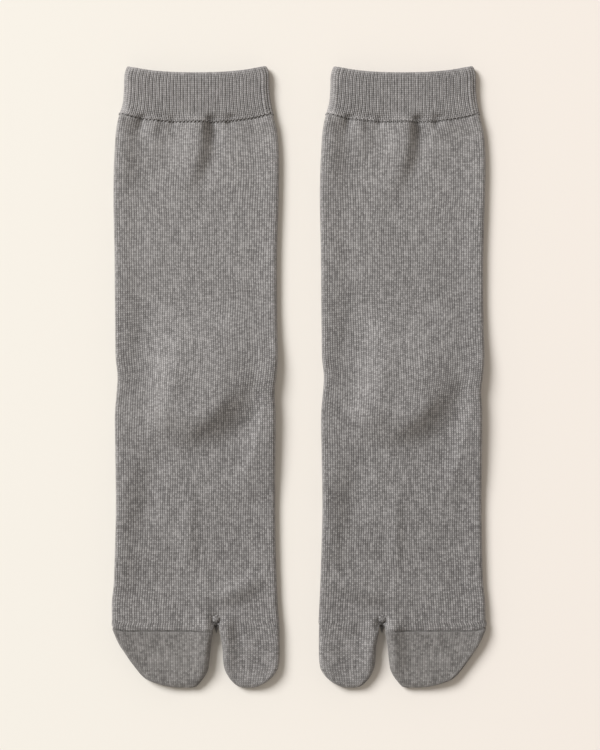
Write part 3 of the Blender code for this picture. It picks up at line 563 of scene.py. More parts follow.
def knit_group():
    """Heather knit from the stitch UV: a colour, and the height of its V-shaped stitches.

    A wale is frac(u) wide and a course frac(v) high. The two legs of a stitch rise from its
    middle, so its course is frac(v + STITCH_SLANT |2 frac(u) - 1|). The shade of the yarn
    changes from stitch to stitch, more slowly along each wale, along each course, and over the
    whole piece. Painted fall-off of the light darkens it by one weight from the middle of the
    sock to its toes and by another from the middle of the pair to the right, away from the lamp.
    Painted shade, set by its own weight, darkens it between wales, in dots where Dots is high and
    not where the point attribute for it is 1, and between courses.
    """
    group = bpy.data.node_groups.new("heather_stitches", "ShaderNodeTree")
    sockets = group.interface
    for name in ("Dark", "Light"):
        sockets.new_socket(name, in_out="INPUT", socket_type="NodeSocketColor")
    for name in ("Stitch", "Streak", "Course", "Patch", "Valley", "Dots", "Foot", "Side"):
        sockets.new_socket(name, in_out="INPUT", socket_type="NodeSocketFloat")
    sockets.new_socket("Color", in_out="OUTPUT", socket_type="NodeSocketColor")
    sockets.new_socket("Height", in_out="OUTPUT", socket_type="NodeSocketFloat")
    nodes = group.nodes
    links = group.links
    given = nodes.new("NodeGroupInput")
    result = nodes.new("NodeGroupOutput")

    def calc(operation, *values):
        return math_node(nodes, links, operation, *values)

    def noise(kind, x, y):
        place = nodes.new("ShaderNodeCombineXYZ")
        links.new(x, place.inputs[0])
        links.new(y, place.inputs[1])
        node = nodes.new(kind)
        links.new(place.outputs[0], node.inputs["Vector"])
        return node

    def drift(x, y, rates):
        x, y = calc("MULTIPLY", x, rates[0]), calc("MULTIPLY", y, rates[1])
        node = noise("ShaderNodeTexNoise", x, y)
        node.inputs["Scale"].default_value = 1.0
        node.inputs["Detail"].default_value = 1.0
        return node.outputs["Fac"]

    place = nodes.new("ShaderNodeTexCoord")
    split = nodes.new("ShaderNodeSeparateXYZ")
    links.new(place.outputs["UV"], split.inputs[0])
    u, v = split.outputs[0], split.outputs[1]
    wale = calc("FLOOR", u)
    across = calc("ABSOLUTE", calc("MULTIPLY_ADD", calc("FRACT", u), 2.0, -1.0))
    slanted = calc("MULTIPLY_ADD", across, STITCH_SLANT, v)
    course = calc("FLOOR", slanted)
    along = calc("FRACT", slanted)

    stitch = noise("ShaderNodeTexWhiteNoise", wale, course).outputs["Value"]
    streak = drift(wale, v, STREAK_RATE)
    thread = drift(u, course, THREAD_RATE)
    patch = nodes.new("ShaderNodeTexNoise")
    patch.inputs["Scale"].default_value = PATCH_SCALE
    patch.inputs["Detail"].default_value = 3.0
    links.new(place.outputs["Object"], patch.inputs["Vector"])

    shade = 0.5
    yarns = {"Stitch": stitch, "Streak": streak, "Course": thread, "Patch": patch.outputs["Fac"]}
    for weight, value in yarns.items():
        swing = calc("MULTIPLY", calc("SUBTRACT", value, 0.5), given.outputs[weight])
        shade = calc("ADD", swing, shade)
    # Painted shade in the grooves between the wales, in dots and left off where the point attribute
    # is 1, and between the courses.
    line = calc("MULTIPLY_ADD", drift(calc("ROUND", u), v, VALLEY_RATE), *VALLEY_SWING)
    edge = calc("MULTIPLY", calc("POWER", across, VALLEY_POWER), line)
    groove_shade_off = nodes.new("ShaderNodeAttribute")
    groove_shade_off.attribute_name = "groove_shade_off"
    edge = calc("MULTIPLY", edge, calc("SUBTRACT", 1.0, groove_shade_off.outputs["Fac"]))
    beads = calc("MULTIPLY", calc("SINE", calc("MULTIPLY", along, math.pi)), given.outputs["Dots"])
    edge = calc("MULTIPLY", edge, calc("SUBTRACT", 1.0, beads))
    gap = calc("POWER", calc("ABSOLUTE", calc("MULTIPLY_ADD", along, 2.0, -1.0)), GAP_POWER)
    sunk = calc("MAXIMUM", edge, calc("MULTIPLY", gap, GAP_SHARE))
    shade = calc("SUBTRACT", shade, calc("MULTIPLY", sunk, given.outputs["Valley"]))
    down = nodes.new("ShaderNodeSeparateXYZ")
    links.new(place.outputs["Object"], down.inputs[0])
    # Painted fall-off of the light: darker towards the toes and to the right, away from the lamp.
    for axis, rate, weight in ((1, -1.0 / HALF_LENGTH, "Foot"), (0, 1.0 / HALF_APART, "Side")):
        reach = calc("MULTIPLY", down.outputs[axis], rate)
        shade = calc("SUBTRACT", shade, calc("MULTIPLY", reach, given.outputs[weight]))
    mix = nodes.new("ShaderNodeMix")
    mix.data_type = "RGBA"
    links.new(shade, mix.inputs["Factor"])
    links.new(given.outputs["Dark"], mix.inputs["A"])
    links.new(given.outputs["Light"], mix.inputs["B"])
    links.new(mix.outputs["Result"], result.inputs["Color"])
    round_leg = calc("SUBTRACT", 1.0, calc("POWER", across, STITCH_ROUND))
    bow = calc("SINE", calc("MULTIPLY", along, math.pi))
    loop = calc("MULTIPLY_ADD", bow, LOOP_RISE, 1.0 - LOOP_RISE)
    links.new(calc("MULTIPLY", round_leg, loop), result.inputs["Height"])
    return group


def knit_material(name, group, dark, light, bump, **weights):
    """Matt yarn with a soft fuzz: the knit group's colour, and its height as bump."""
    material, shader, relief = matt_material(name, YARN_ROUGHNESS, YARN_SHINE, 1.0, bump * MM)
    for socket, value in FUZZ.items():
        shader.inputs[socket].default_value = value
    knit = material.node_tree.nodes.new("ShaderNodeGroup")
    knit.node_tree = group
    knit.inputs["Dark"].default_value = dark
    knit.inputs["Light"].default_value = light
    for socket, value in weights.items():
        knit.inputs[socket].default_value = value
    links = material.node_tree.links
    links.new(knit.outputs["Color"], shader.inputs["Base Color"])
    links.new(knit.outputs["Height"], relief.inputs["Height"])
    return material


def fold_height(fold, x, y):
    """height exp(-(distance / width)^2) across a bowed line, faded in and out along it."""
    x0, y0, x1, y1, bow, west, east, height, head, tail = fold
    length = math.hypot(x1 - x0, y1 - y0)
    dx, dy = (x1 - x0) / length, (y1 - y0) / length
    along = ((x - x0) * dx + (y - y0) * dy) / length
    across = (y - y0) * dx - (x - x0) * dy - bow * 4.0 * along * (1.0 - along)
    ends = soft((along + head) / (2.0 * head)) * soft((1.0 - along) / tail)
    return height * np.exp(-((across / np.where(across > 0.0, east, west)) ** 2)) * ends


def bulge_height(x, y):
    """The lift of the instep over the heel: BULGE less what each of its soft slopes takes off."""
    lift = BULGE
    for x0, y0, x1, y1, before, after, share in BULGE_SLOPES:
        length = math.hypot(x1 - x0, y1 - y0)
        inside = ((y - y0) * (x1 - x0) - (x - x0) * (y1 - y0)) / length
        lift = lift * (1.0 - share * (1.0 - soft((inside + before) / (before + after))))
    return lift


def edge_rise(x, y, toe_side):
    """The folded sides spring up: soft ramps outwards, lower beside the heel and at the toes."""
    beside_heel = soft((HEEL_HOLLOW_HALF - np.abs(y - HEEL_HOLLOW)) / HEEL_HOLLOW_REACH)
    at_toes = soft((TOES_FROM - y) / TOES_REACH)
    left = LEFT_RISE * (1.0 - LEFT_DROP * beside_heel)
    right = RIGHT_RISE[toe_side] * (1.0 - RIGHT_DROP * at_toes)
    return left * soft((LEFT_INNER - x) / RISE_REACH) + right * soft((x - RIGHT_INNER) / RISE_REACH)


def cleft_hollow(x, y):
    """How far the cloth is drawn in under the knot above the cleft: a round Gaussian."""
    return PIT_DEPTH * np.exp(-(((x - PIT[0]) / PIT[2]) ** 2 + ((y - PIT[1]) / PIT[2]) ** 2))


def instep(x, y, toe_side):
    """Height of the upper face: laid thickness, sprung sides, heel bulge, cuff, toes and folds."""
    own_x = x * toe_side
    height = LAID + edge_rise(own_x, y, toe_side) + bulge_height(own_x, y)
    for rise, start, reach in RISES:
        height = height + rise * soft((y - start) / reach)
    for fold in LEG_FOLDS:
        height = height + fold_height(fold, own_x, y)
    for fold in TOE_FOLDS:
        height = height + fold_height(fold, x, y)
    return height - cleft_hollow(x, y)


def sole_lift(level, x, toe_side):
    """Height of the sole: it lies on the heel pocket inside the pocket's outline, else at 0."""
    own_x = x * toe_side
    ramp = RECESS_OUTSIDE + RECESS_INSIDE
    left = (own_x - through(HEEL_POCKET, 1, level) + RECESS_OUTSIDE) / ramp
    right = (through(HEEL_POCKET, 2, level) + RECESS_OUTSIDE - own_x) / ramp
    mouth = (HEEL_LEVEL - level) / RECESS_STEP
    tip = (level - HEEL_POCKET[-1, 0] + RECESS_TIP_RAMP) / RECESS_TIP_RAMP
    lift = POCKET_RECESS
    for share in (left, right, mouth, tip):
        lift = lift * np.clip(share, 0.0, 1.0)
    return lift


def seam_y(level, x, toe_side):
    """y of a row, with the toe seam's rise at the sock's outer edge."""
    corner = np.clip((OUTER_EDGE + TOE_SEAM_CORNER - x) / TOE_SEAM_CORNER, 0.0, 1.0)
    near = soft(1.0 - np.abs(level - TOE_SEAM) / TOE_SEAM_REACH)
    return row_y(level, x * toe_side) + TOE_SEAM_RISE * corner**2 * near


def tip_share(level, tip=TOE_TIP, roll=TIP_ROLL):
    """Share of a form's thickness at a level: a quarter ellipse down to nothing at its tip."""
    depth = np.clip((level - tip) / roll, 0.0, 1.0)
    return np.sqrt(np.maximum(1.0 - (1.0 - depth) ** 2, LEAST_SHARE))


def held_between(x, low, high):
    """x held between low and high: a straight line that bends flat over WALE_BEND at both."""
    held = WALE_BEND * np.logaddexp(0.0, (x - low) / WALE_BEND)
    return low + held - WALE_BEND * np.logaddexp(0.0, (x - high) / WALE_BEND)


def toe_columns(leg_x, low, high):
    """x of a toe's columns: straight on from the leg, and closer together beside its edges."""
    straight = held_between(leg_x, low, high)
    straight = (straight - straight[:, [0]]) / (straight[:, [-1]] - straight[:, [0]])
    even = (leg_x - leg_x[:, [0]]) / (leg_x[:, [-1]] - leg_x[:, [0]])
    return low + (even + WALES_STRAIGHT * (straight - even)) * (high - low)


def toe_rows(table, level, inset, leg_x, toe_side):
    """Points and normals around a toe, from its table of edges and the leg's columns above it.

    Its thickness falls to its rolled sides as full sqrt(1 - out^2), where out runs from 0 at the
    start of a roll to 1 at the edge, and to its tip by tip_share. Its columns reach out = far.
    """
    low = through(table, 1, level)
    high = through(table, 2, level)
    opened = soft((CLEFT_APEX - level) / CLEFT_OPENS)
    widest = CAP_ROLL if table is TOE_CAP else BIG_TOE_ROLL
    beside_cleft = CLEFT_ROLL + (widest - CLEFT_ROLL) * opened
    beside_cleft = np.minimum(beside_cleft, ROLL_SHARE * (high - low))
    outside = np.minimum(LAID / 2.0, ROLL_SHARE * (high - low))
    low_roll, high_roll = (outside, beside_cleft) if table is TOE_CAP else (beside_cleft, outside)
    far = FOLD_SHARE * opened
    x = toe_columns(leg_x, low + (1.0 - far) * low_roll, high - (1.0 - far) * high_roll)
    out = np.clip((low + low_roll - x) / low_roll, 0.0, far)
    out = out + np.clip((x - high + high_roll) / high_roll, 0.0, far)
    full = instep(x, seam_y(level, x, toe_side), toe_side)
    half = full / 2.0 * tip_share(level) * np.sqrt(1.0 - out**2)

    def row(ring_x):
        return seam_y(level, ring_x, toe_side)

    return round_tube(row, x, full / 2.0 + half, full / 2.0 - half, (low, high), inset,
                      FOLD_COLUMNS, np.arcsin(far))


def sink_wales(points, normals, wales):
    """Lower the points between the wales by WALE_DEPTH, into the cloth."""
    return points - normals * (WALE_DEPTH * (1.0 - wale_ridge(wales)))[..., None]


def knit_tube(cloth, points, normals, wales, start, level, inset):
    """Add rows of a closed ring, with courses counted from start: its numbers and its courses."""
    numbers = cloth.add(sink_wales(points, normals, wales[:-1]))
    courses = (start - level[:, 0] + 2.0 * inset[:, 0]) / COURSE
    cloth.tube(numbers, wales, courses)
    return numbers, courses


def levels_to_tip(start, near, tip, rows, tip_rows):
    """Levels of rows: even ones from start to near, then closing up on the tip as sin(90 deg t)."""
    closing = np.sin(np.linspace(0.0, np.pi / 2.0, tip_rows + 1)[1:])
    return np.hstack([np.linspace(start, near, rows), near + (tip - near) * closing])


def laid_columns(low, high, roll, count):
    """x of the columns across a laid row, count even steps between its two rolled sides."""
    return low + roll + np.linspace(0.0, 1.0, count + 1) * (high - low - 2.0 * roll)


def leg_levels():
    """Rows from the turned-in top of the leg to the cleft, closer together where it folds."""
    levels = [[LEG_TOP - 1.0]]
    for stop, count in LEG_SPANS:
        levels.append(np.linspace(levels[-1][-1], stop, count + 1)[1:])
    return np.hstack(levels)


def wale_drift(x, level, low, high):
    """How far the wales wander sideways: two slow waves, none at the folds and at the cleft."""
    held = soft((x - low) / DRIFT_FADE) * soft((high - x) / DRIFT_FADE)
    held = held * soft((level - CLEFT_APEX - DRIFT_STOPS) / DRIFT_STOPS_OVER)
    wave = 1.0
    for down, across, phase in DRIFT_WAVES:
        wave = wave * np.sin(level / down + x / across + phase)
    return WALE_DRIFT * wave * held


def leg_piece(name, leg_line, toe_side, material):
    """The tube: rows turned in at the cuff, one ring down to the cleft, and two rings below it."""
    level = leg_levels()
    inset = np.hstack([LEG_LIP[:, 1], np.zeros(len(level))])[:, None]
    level = np.hstack([LEG_TOP + LEG_LIP[:, 0], level])[:, None]
    low, high = tube_edges(level, toe_side)
    radius = LAID / 2.0
    outer_share = np.linspace(0.0, 1.0, WALES_OUTER * WALE_COLUMNS + 1)
    inner_share = np.linspace(0.0, 1.0, WALES_INNER * WALE_COLUMNS + 1)[1:]
    x = np.hstack([low + radius + outer_share * (CLEFT_X - low - radius),
                   CLEFT_X + inner_share * (high - radius - CLEFT_X)])
    x = x + wale_drift(x, level, low + radius, high - radius)

    def row(ring_x):
        return seam_y(level, ring_x, toe_side)

    top = instep(x, row(x), toe_side)
    bottom = sole_lift(level, x, toe_side)
    across = x.shape[1]
    points, normals = round_tube(row, x, top, bottom, (low, high), inset, FOLD_COLUMNS)
    wales = ring_wales(across, FOLD_COLUMNS)
    cloth = Cloth()
    numbers, _ = knit_tube(cloth, points, normals, wales, LEG_TOP, level, inset)

    split = WALES_OUTER * WALE_COLUMNS
    ring = numbers[-1]
    turn = np.pi * np.arange(1, FOLD_COLUMNS) / FOLD_COLUMNS
    middle = top[-1, split] / 2.0
    # The web's low-lying end down the slit is a dark sheet standing in for the shade there.
    reach = CROTCH_REACH + WEB_REACH * soft((turn / np.pi - WEB_FROM) / WEB_RAMP)
    crotch = cloth.add(np.stack([
        np.full(FOLD_COLUMNS - 1, CLEFT_X),
        level[-1, 0] - np.sin(turn) * reach,
        middle + middle * np.cos(turn),
    ], axis=-1))
    turned = across + FOLD_COLUMNS - 1
    back = ring[turned:turned + across]
    big_ring = np.hstack([ring[split:turned], back[:across - split], crotch[::-1]])
    rest_ring = np.hstack([ring[:split + 1], crotch, back[across - split - 1:],
                           ring[turned + across:]])

    below = levels_to_tip(CLEFT_APEX - 0.5, TIP_FROM, TOE_LAST_ROW, TOE_ROWS, BIG_TOE_TIP_ROWS)
    below = below[:, None]
    inner_x = x[[-1], split:]
    outer_x = x[[-1], :split + 1]
    big, normals = toe_rows(BIG_TOE, below, 0.0 * below, inner_x, toe_side)
    width = inner_x.shape[1]
    wales = ring_wales(width, FOLD_COLUMNS, first=WALES_OUTER)
    # Below the cleft the big toe loses part of the painted shade between its wales.
    toe_groove_shade_off = TOE_GROOVE_SHADE_OFF * soft((CLEFT_APEX - below) / CLEFT_OPENS) + 0.0 * big[..., 0]
    big = cloth.add(sink_wales(big, normals, wales[:-1]), toe_groove_shade_off)
    courses = (LEG_TOP - np.hstack([level[-1], below[:, 0]])) / COURSE
    cloth.tube(np.vstack([big_ring, big]), wales, courses)
    cloth.close(big[-1], width, FOLD_COLUMNS, wales, courses[-1])

    rest, normals = toe_rows(TOE_CAP, CAP_MOUTH[:, [0]], CAP_MOUTH[:, [1]], outer_x, toe_side)
    wales = ring_wales(outer_x.shape[1], FOLD_COLUMNS)
    rest = cloth.add(sink_wales(rest, normals, wales[:-1]))
    courses = (LEG_TOP - np.hstack([level[-1], CAP_MOUTH[:, 0] - CAP_MOUTH[:, 1]])) / COURSE
    cloth.tube(np.vstack([rest_ring, rest]), wales, courses)
    return cloth.finish(name, leg_line, toe_side, material)


def knot_piece(name, leg_line, toe_side, material):
    """The knot: a small ball, centre + size (sin a cos b, sin a sin b, cos a)."""
    a = np.linspace(KNOT_END, np.pi - KNOT_END, KNOT_RINGS)[:, None]
    b = np.linspace(0.0, -2.0 * np.pi, KNOT_COLUMNS)[None, :-1]
    ball = np.stack([
        KNOT[0] + KNOT_SIZE[0] * np.sin(a) * np.cos(b),
        KNOT[1] + KNOT_SIZE[1] * np.sin(a) * np.sin(b),
        KNOT[2] + KNOT_SIZE[2] * np.cos(a) + 0.0 * b,
    ], axis=-1)
    cloth = Cloth()
    cloth.tube(cloth.add(ball), np.arange(KNOT_COLUMNS) / WALE_COLUMNS, np.arange(KNOT_RINGS) / 3.0)
    return cloth.finish(name, leg_line, toe_side, material)


SOCKS = (("right", -LEG_LINE, 1), ("left", LEG_LINE, -1))
stitches = knit_group()
plain_yarn = knit_material(
    "heather_plain_knit", stitches, (0.070, 0.066, 0.066, 1.0), (0.568, 0.555, 0.556, 1.0), 0.08,
    Stitch=0.28, Streak=0.38, Course=0.14, Patch=0.12,
    # Painted shade between the wales and its dots, then painted fall-off of the light down and
    # across.
    Valley=0.86, Dots=0.35, Foot=0.065, Side=0.013,
)
for side, leg_line, toe_side in SOCKS:
    leg = leg_piece(side + "_leg_knit", leg_line, toe_side, plain_yarn)
    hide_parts(side + "_leg_foot")
    knot = knot_piece(side + "_gusset_knot", leg_line, toe_side, plain_yarn)

# ----------------------------------
# Cuff: the doubled 1x1 rib welt that the sock is started with. It is knitted twice as long,
# folded to the inside over its rounded rim, and closed again where the plain leg begins.
CUFF_TOP = 160.3
CUFF_HEIGHT = 5.6
LAID_RISE = 0.35  # how much higher it is in the middle
CROWN_HALF = 42.0
WELT_WALL = 1.7
CUFF_ROLL = 4.2
# It comes down on the leg over its last rows, a little above the instep.
CUFF_MEETS = 5.0
OVER_LEG = 0.1
RIBS = 37
FOLD_RIBS = 4
RIB_COLUMNS = 8
RIB_DEPTH = 0.65
RIB_COURSE = 1.0
RIB_SIDE = 0.36  # share of half a rib that its side slopes over
RIB_DIP = 0.25
RIB_DIP_HALF = 0.30
# Shares of the ribs' depth that are left inside, underneath and at the rim, and on one side.
HIDDEN_SHARE = 0.25
RIM_SMOOTH = 3.0
SIDE_SHARE = 0.2
SMOOTH_SIDE = -37.0
SMOOTH_REACH = 4.0
# The band at its foot, where every other step is half a rib aside.
STEP_BAND = 3.2
STEP = 0.8
# Rows on the welt's inside, over a quarter of its rim, and on its outside, band and foot.
INSIDE_ROWS = 8
RIM_ROWS = 7
OUTSIDE_ROWS = 18
BAND_ROWS = 9
FOOT_ROWS = 4


def crown(x):
    """The upper face rises LAID_RISE (1 - (x / CROWN_HALF)^2) towards the leg line."""
    return LAID_RISE * (1.0 - (x / CROWN_HALF) ** 2)


def rib_ridge(u):
    """Height of a rib, 0 to 1: flat-topped, with narrow valleys and a dip along its middle."""
    across = np.abs(2.0 * (u - np.floor(u)) - 1.0)
    return soft((1.0 - across) / RIB_SIDE) - RIB_DIP * soft((RIB_DIP_HALF - across) / RIB_DIP_HALF)


def welt_rows():
    """Levels and insets of the rows: up the inside, over the half-round rim, down the outside."""
    half = WELT_WALL / 2.0
    rim = CUFF_TOP - half
    rise = np.radians(np.linspace(0.0, 90.0, RIM_ROWS))[1:]
    fall = np.radians(np.linspace(90.0, 0.0, RIM_ROWS))[1:]
    foot = np.radians(np.linspace(0.0, 90.0, FOOT_ROWS))[1:]
    outside = np.hstack([np.linspace(rim, CUFF_FOOT + STEP_BAND, OUTSIDE_ROWS)[1:],
                         np.linspace(CUFF_FOOT + STEP_BAND, CUFF_FOOT, BAND_ROWS)[1:]])
    inside = np.linspace(rim, CUFF_FOOT, INSIDE_ROWS)[::-1]
    level = np.hstack([inside, rim + half * np.sin(rise), rim + half * np.sin(fall), outside,
                       np.full(len(foot), CUFF_FOOT)])
    inset = np.hstack([np.full(len(inside), WELT_WALL), half + half * np.cos(rise),
                       half - half * np.cos(fall), np.zeros(len(outside)),
                       0.5 * (1.0 - np.cos(foot)) * WELT_WALL])
    return level[:, None], inset[:, None]


def cuff_piece(name, leg_line, toe_side, material):
    """The welt as one grid, with its ribs sunk into its outer face and less into the rest."""
    level, inset = welt_rows()
    low, high = tube_edges(level, toe_side)
    height = CUFF_HEIGHT - RIB_DEPTH * 0.5
    roll = np.minimum(CUFF_ROLL, height)
    x = laid_columns(low, high, roll, RIBS * RIB_COLUMNS)
    fold_columns = FOLD_RIBS * RIB_COLUMNS

    def row(ring_x):
        return row_y(level, ring_x * toe_side)

    top = height + crown(x)
    meets = soft((CUFF_FOOT + CUFF_MEETS - level) / CUFF_MEETS)
    top = top + meets * (instep(x, row(x), toe_side) + OVER_LEG - top)
    points, normals = round_tube(row, x, top, 0.0 * x, (low, high), inset, fold_columns)
    ribs = ring_wales(x.shape[1], fold_columns, RIB_COLUMNS)
    band = np.clip(CUFF_FOOT + STEP_BAND - level, 0.0, None)
    stepped = ribs[:-1] + 0.5 * (np.ceil(band / STEP) % 2.0)
    outer = 1.0 - (1.0 - HIDDEN_SHARE) * np.clip(inset / WELT_WALL, 0.0, 1.0)
    below_rim = soft((CUFF_TOP - level) / RIM_SMOOTH)
    outer = outer * (HIDDEN_SHARE + (1.0 - HIDDEN_SHARE) * below_rim)
    off_side = soft((points[..., 0] * toe_side - SMOOTH_SIDE) / SMOOTH_REACH)
    outer = outer * (SIDE_SHARE + (1.0 - SIDE_SHARE) * off_side)
    sunk = RIB_DEPTH * (rib_ridge(stepped) - 0.5) * outer
    under = np.where(normals[..., 2] < -0.5, HIDDEN_SHARE, 1.0)
    points = points + normals * (sunk * under)[..., None]
    points[..., 2] = np.maximum(points[..., 2], 0.0)
    cloth = Cloth()
    travel = np.hypot(np.diff(level[:, 0]), np.diff(inset[:, 0]))
    courses = np.hstack([0.0, np.cumsum(travel)]) / RIB_COURSE
    # The painted shade between the ribs follows the ribs' own depth.
    cloth.tube(cloth.add(points, 1.0 - outer), 2.0 * ribs, courses)
    return cloth.finish(name, leg_line, toe_side, material)


rib_yarn = knit_material(
    "heather_rib_knit", stitches, (0.065, 0.062, 0.062, 1.0), (0.665, 0.646, 0.648, 1.0), 0.09,
    Stitch=0.16, Streak=0.34, Course=0.14, Patch=0.10,
    # Painted shade between the ribs and its dots, then painted fall-off of the light down and
    # across.
    Valley=1.05, Dots=0.55, Foot=0.0, Side=0.012,
)
for side, leg_line, toe_side in SOCKS:
    welt = cuff_piece(side + "_cuff_knit", leg_line, toe_side, rib_yarn)
    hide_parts(side + "_cuff")

# ----------------------------------
# Heel: the cup turned out of the back of the tube. With the sock laid instep up it folds flat
# under the ankle into two layers, mouth at the ankle and tip towards the toes.
POCKET_LAYER = 1.1
POCKET_AIR = 0.4
POCKET_WALES = 36
POCKET_FOLD_WALES = 4
POCKET_ROWS = 22
POCKET_TIP_ROWS = 6
POCKET_EVEN = 0.9  # share of its length with even rows, which then close up on its tip
# Its turned-in mouth: level from the mouth, and how far inside the outer face.
POCKET_LIP = np.array([(-3.0, POCKET_LAYER), (-0.4, POCKET_LAYER), (0.0, 0.6), (0.0, 0.2)])


def heel_piece(name, leg_line, toe_side, material):
    """The flat pocket: rows turned in at its mouth, then a ring that closes at its tip."""
    thick = 2.0 * POCKET_LAYER + POCKET_AIR
    start = HEEL_LEVEL - RECESS_STEP - SEAM_GAP
    tip = HEEL_POCKET[-1, 0]
    near = start + POCKET_EVEN * (tip - start)
    below = levels_to_tip(start, near, tip, POCKET_ROWS, POCKET_TIP_ROWS)
    level = np.hstack([start + POCKET_LIP[:, 0], below])[:, None]
    inset = np.hstack([POCKET_LIP[:, 1], np.zeros(len(below))])[:, None]
    left = through(HEEL_POCKET, 1, level)
    right = through(HEEL_POCKET, 2, level)
    low, high = (left, right) if toe_side > 0 else (-right, -left)
    radius = np.minimum(thick / 2.0, ROLL_SHARE * (high - low))
    x = laid_columns(low, high, radius, POCKET_WALES * WALE_COLUMNS)
    full = tip_share(level, tip, thick / 2.0) + 0.0 * x
    fold_columns = POCKET_FOLD_WALES * WALE_COLUMNS

    def row(ring_x):
        return row_y(level, ring_x * toe_side)

    points, normals = round_tube(row, x, thick / 2.0 * (1.0 + full), thick / 2.0 * (1.0 - full),
                                 (low, high), inset, fold_columns)
    wales = ring_wales(x.shape[1], fold_columns)
    cloth = Cloth()
    numbers, courses = knit_tube(cloth, points, normals, wales, start, level, inset)
    cloth.close(numbers[-1], x.shape[1], fold_columns, wales, courses[-1])
    return cloth.finish(name, leg_line, toe_side, material)


for side, leg_line, toe_side in SOCKS:
    pocket = heel_piece(side + "_heel_knit", leg_line, toe_side, plain_yarn)
    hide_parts(side + "_heel")

# ----------------------------------
# Toe cap: the pocket for the other four toes, knitted apart and narrowed along its outer edge
# and at its tip, then linked to the foot stitch by stitch.
CAP_STARTS = 2.6  # below its mouth, where its turned-in rows end
CAP_TIP_ROWS = 20
# Its turned-in mouth, a little swollen below the seam: level from the mouth, and how far inside.
CAP_LIP = np.array([(-2.0, PLAIN_WALL), (0.0, 1.0), (-0.15, 0.5), (-0.5, 0.1), (-1.0, -0.15),
                    (-1.7, -0.06)])


def cap_columns(toe_side):
    """x of the leg's columns above the cap, evenly from its outer fold to the cleft."""
    share = np.linspace(0.0, 1.0, WALES_OUTER * WALE_COLUMNS + 1)
    outer_edge = tube_edges(CLEFT_APEX, toe_side)[0] + LAID / 2.0
    return (outer_edge + share * (CLEFT_X - outer_edge))[None, :]


def toe_cap_piece(name, leg_line, toe_side, material):
    """The cap: rows turned in at the linked seam, then a ring that closes at the toes' tip."""
    start = TOE_SEAM - SEAM_GAP / 2.0
    below = levels_to_tip(start - CAP_STARTS, TIP_FROM, TOE_LAST_ROW, TOE_ROWS, CAP_TIP_ROWS)
    level = np.hstack([start + CAP_LIP[:, 0], below])[:, None]
    inset = np.hstack([CAP_LIP[:, 1], np.zeros(len(below))])[:, None]
    leg_x = cap_columns(toe_side)
    points, normals = toe_rows(TOE_CAP, level, inset, leg_x, toe_side)
    width = leg_x.shape[1]
    wales = ring_wales(width, FOLD_COLUMNS)
    cloth = Cloth()
    numbers, courses = knit_tube(cloth, points, normals, wales, start, level, inset)
    cloth.close(numbers[-1], width, FOLD_COLUMNS, wales, courses[-1])
    return cloth.finish(name, leg_line, toe_side, material)


toe_yarn = knit_material(
    "heather_toe_knit", stitches, (0.070, 0.066, 0.064, 1.0), (0.415, 0.403, 0.398, 1.0), 0.08,
    Stitch=0.32, Streak=0.50, Course=0.22, Patch=0.12,
    # Painted shade between the wales and its dots, then painted fall-off of the light down and
    # across.
    Valley=0.50, Dots=0.40, Foot=0.05, Side=0.005,
)
for side, leg_line, toe_side in SOCKS:
    cap = toe_cap_piece(side + "_toe_cap_knit", leg_line, toe_side, toe_yarn)
    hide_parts(side + "_toe_cap")

# ----------------------------------
# Stitches that join the pieces: a chain of loops links the toe cap to the foot, one for each
# wale, and the welt is closed on the leg by a zigzag of the same yarn, one loop for each rib.
LOOP_STEPS = 6
LOOP_SIDES = 6
JOIN_LEVEL = CUFF_FOOT - 0.15
JOIN_COLUMNS = 200
JOIN_FOLD_COLUMNS = 24
CHAIN = {"swing": 0.50, "depth": 0.55, "radius": 0.17, "dip": 0.08, "dips": 2}
WELT_ZIGZAG = {"swing": 0.70, "depth": 0.18, "radius": 0.33, "dip": 0.34, "dips": 1}


def thread_ring(path, normal, wales, swing, depth, radius, dip, dips):
    """A round thread along a closed line that swings down the sock and back once a wale.

    Its middle is path + y swing sin(2 pi wale) + normal (dip cos(2 pi dips wale) - depth), and
    its section a circle of that radius square to the way the middle goes.
    """
    turn = 2.0 * np.pi * wales
    middle = path + normal * (dip * np.cos(dips * turn) - depth)[:, None]
    middle[:, 1] += swing * np.sin(turn)
    middle[:, 2] = np.maximum(middle[:, 2], radius)
    ahead = np.roll(middle, -1, axis=0) - np.roll(middle, 1, axis=0)
    ahead = ahead / np.linalg.norm(ahead, axis=1, keepdims=True)
    aside = np.cross(ahead, normal)
    aside = aside / np.linalg.norm(aside, axis=1, keepdims=True)
    above = np.cross(aside, ahead)
    angle = 2.0 * np.pi * np.arange(LOOP_SIDES) / LOOP_SIDES
    ring = np.cos(angle)[None, :, None] * aside[:, None, :]
    ring = ring + np.sin(angle)[None, :, None] * above[:, None, :]
    return middle[:, None, :] + radius * ring


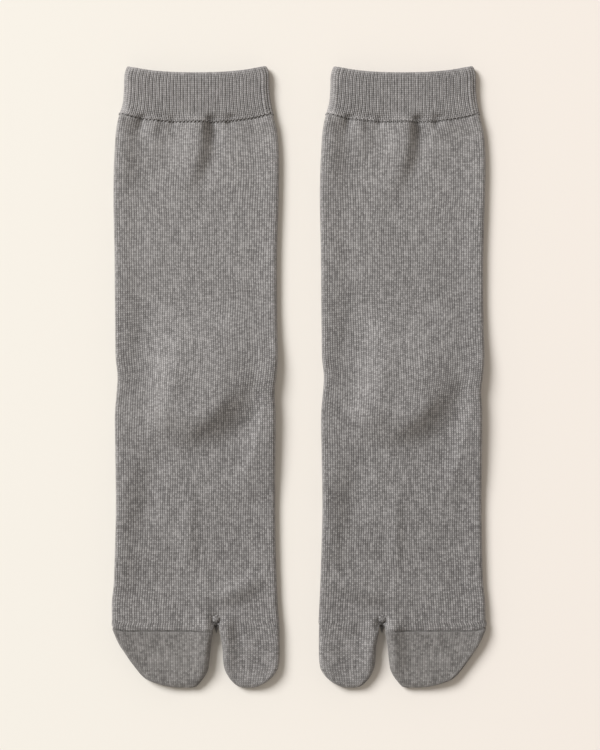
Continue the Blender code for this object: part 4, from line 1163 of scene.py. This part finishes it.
def even_ring(points, normals, wales, count):
    """A closed ring read again at count x LOOP_STEPS even places of its wale number."""
    at = np.arange(count * LOOP_STEPS) / (count * LOOP_STEPS)
    own = (wales - wales[0]) / (wales[-1] - wales[0])
    path, out = (
        np.stack([np.interp(at, own, np.append(line, line[0])) for line in lines.T], axis=-1)
        for lines in (points, normals)
    )
    return path, out / np.linalg.norm(out, axis=1, keepdims=True), at * count


def thread_piece(name, ring, leg_line, toe_side, material):
    """The thread's mesh: its sections closed into a loop."""
    cloth = Cloth()
    numbers = cloth.add(ring)
    numbers = np.vstack([numbers, numbers[:1]])
    around = np.arange(LOOP_SIDES + 1) / LOOP_SIDES
    cloth.tube(numbers[:, ::-1], around, np.arange(len(numbers)) / LOOP_STEPS)
    return cloth.finish(name, leg_line, toe_side, material)


for side, leg_line, toe_side in SOCKS:
    leg_x = cap_columns(toe_side)
    seam = np.array([[TOE_SEAM]])
    points, normals = toe_rows(TOE_CAP, seam, 0.0 * seam, leg_x, toe_side)
    wales = ring_wales(leg_x.shape[1], FOLD_COLUMNS)
    path, out, turns = even_ring(points[0], normals[0], wales, 2 * (WALES_OUTER + WALES_FOLD))
    ring = thread_ring(path, out, turns, **CHAIN)
    chain = thread_piece(side + "_linking_chain", ring, leg_line, toe_side, toe_yarn)

    join = np.array([[JOIN_LEVEL]])
    low, high = tube_edges(join, toe_side)
    x = laid_columns(low, high, CUFF_ROLL, JOIN_COLUMNS)
    top = instep(x, row_y(join, x * toe_side), toe_side)
    points, normals = round_tube(lambda ring_x: row_y(join, ring_x * toe_side), x, top, 0.0 * x,
                                 (low, high), 0.0 * join, JOIN_FOLD_COLUMNS)
    wales = ring_wales(JOIN_COLUMNS + 1, JOIN_FOLD_COLUMNS, JOIN_COLUMNS / RIBS)
    path, out, turns = even_ring(points[0], normals[0], wales, 2 * (RIBS + FOLD_RIBS))
    ring = thread_ring(path, out, turns, **WELT_ZIGZAG)
    zigzag = thread_piece(side + "_welt_join", ring, leg_line, toe_side, rib_yarn)
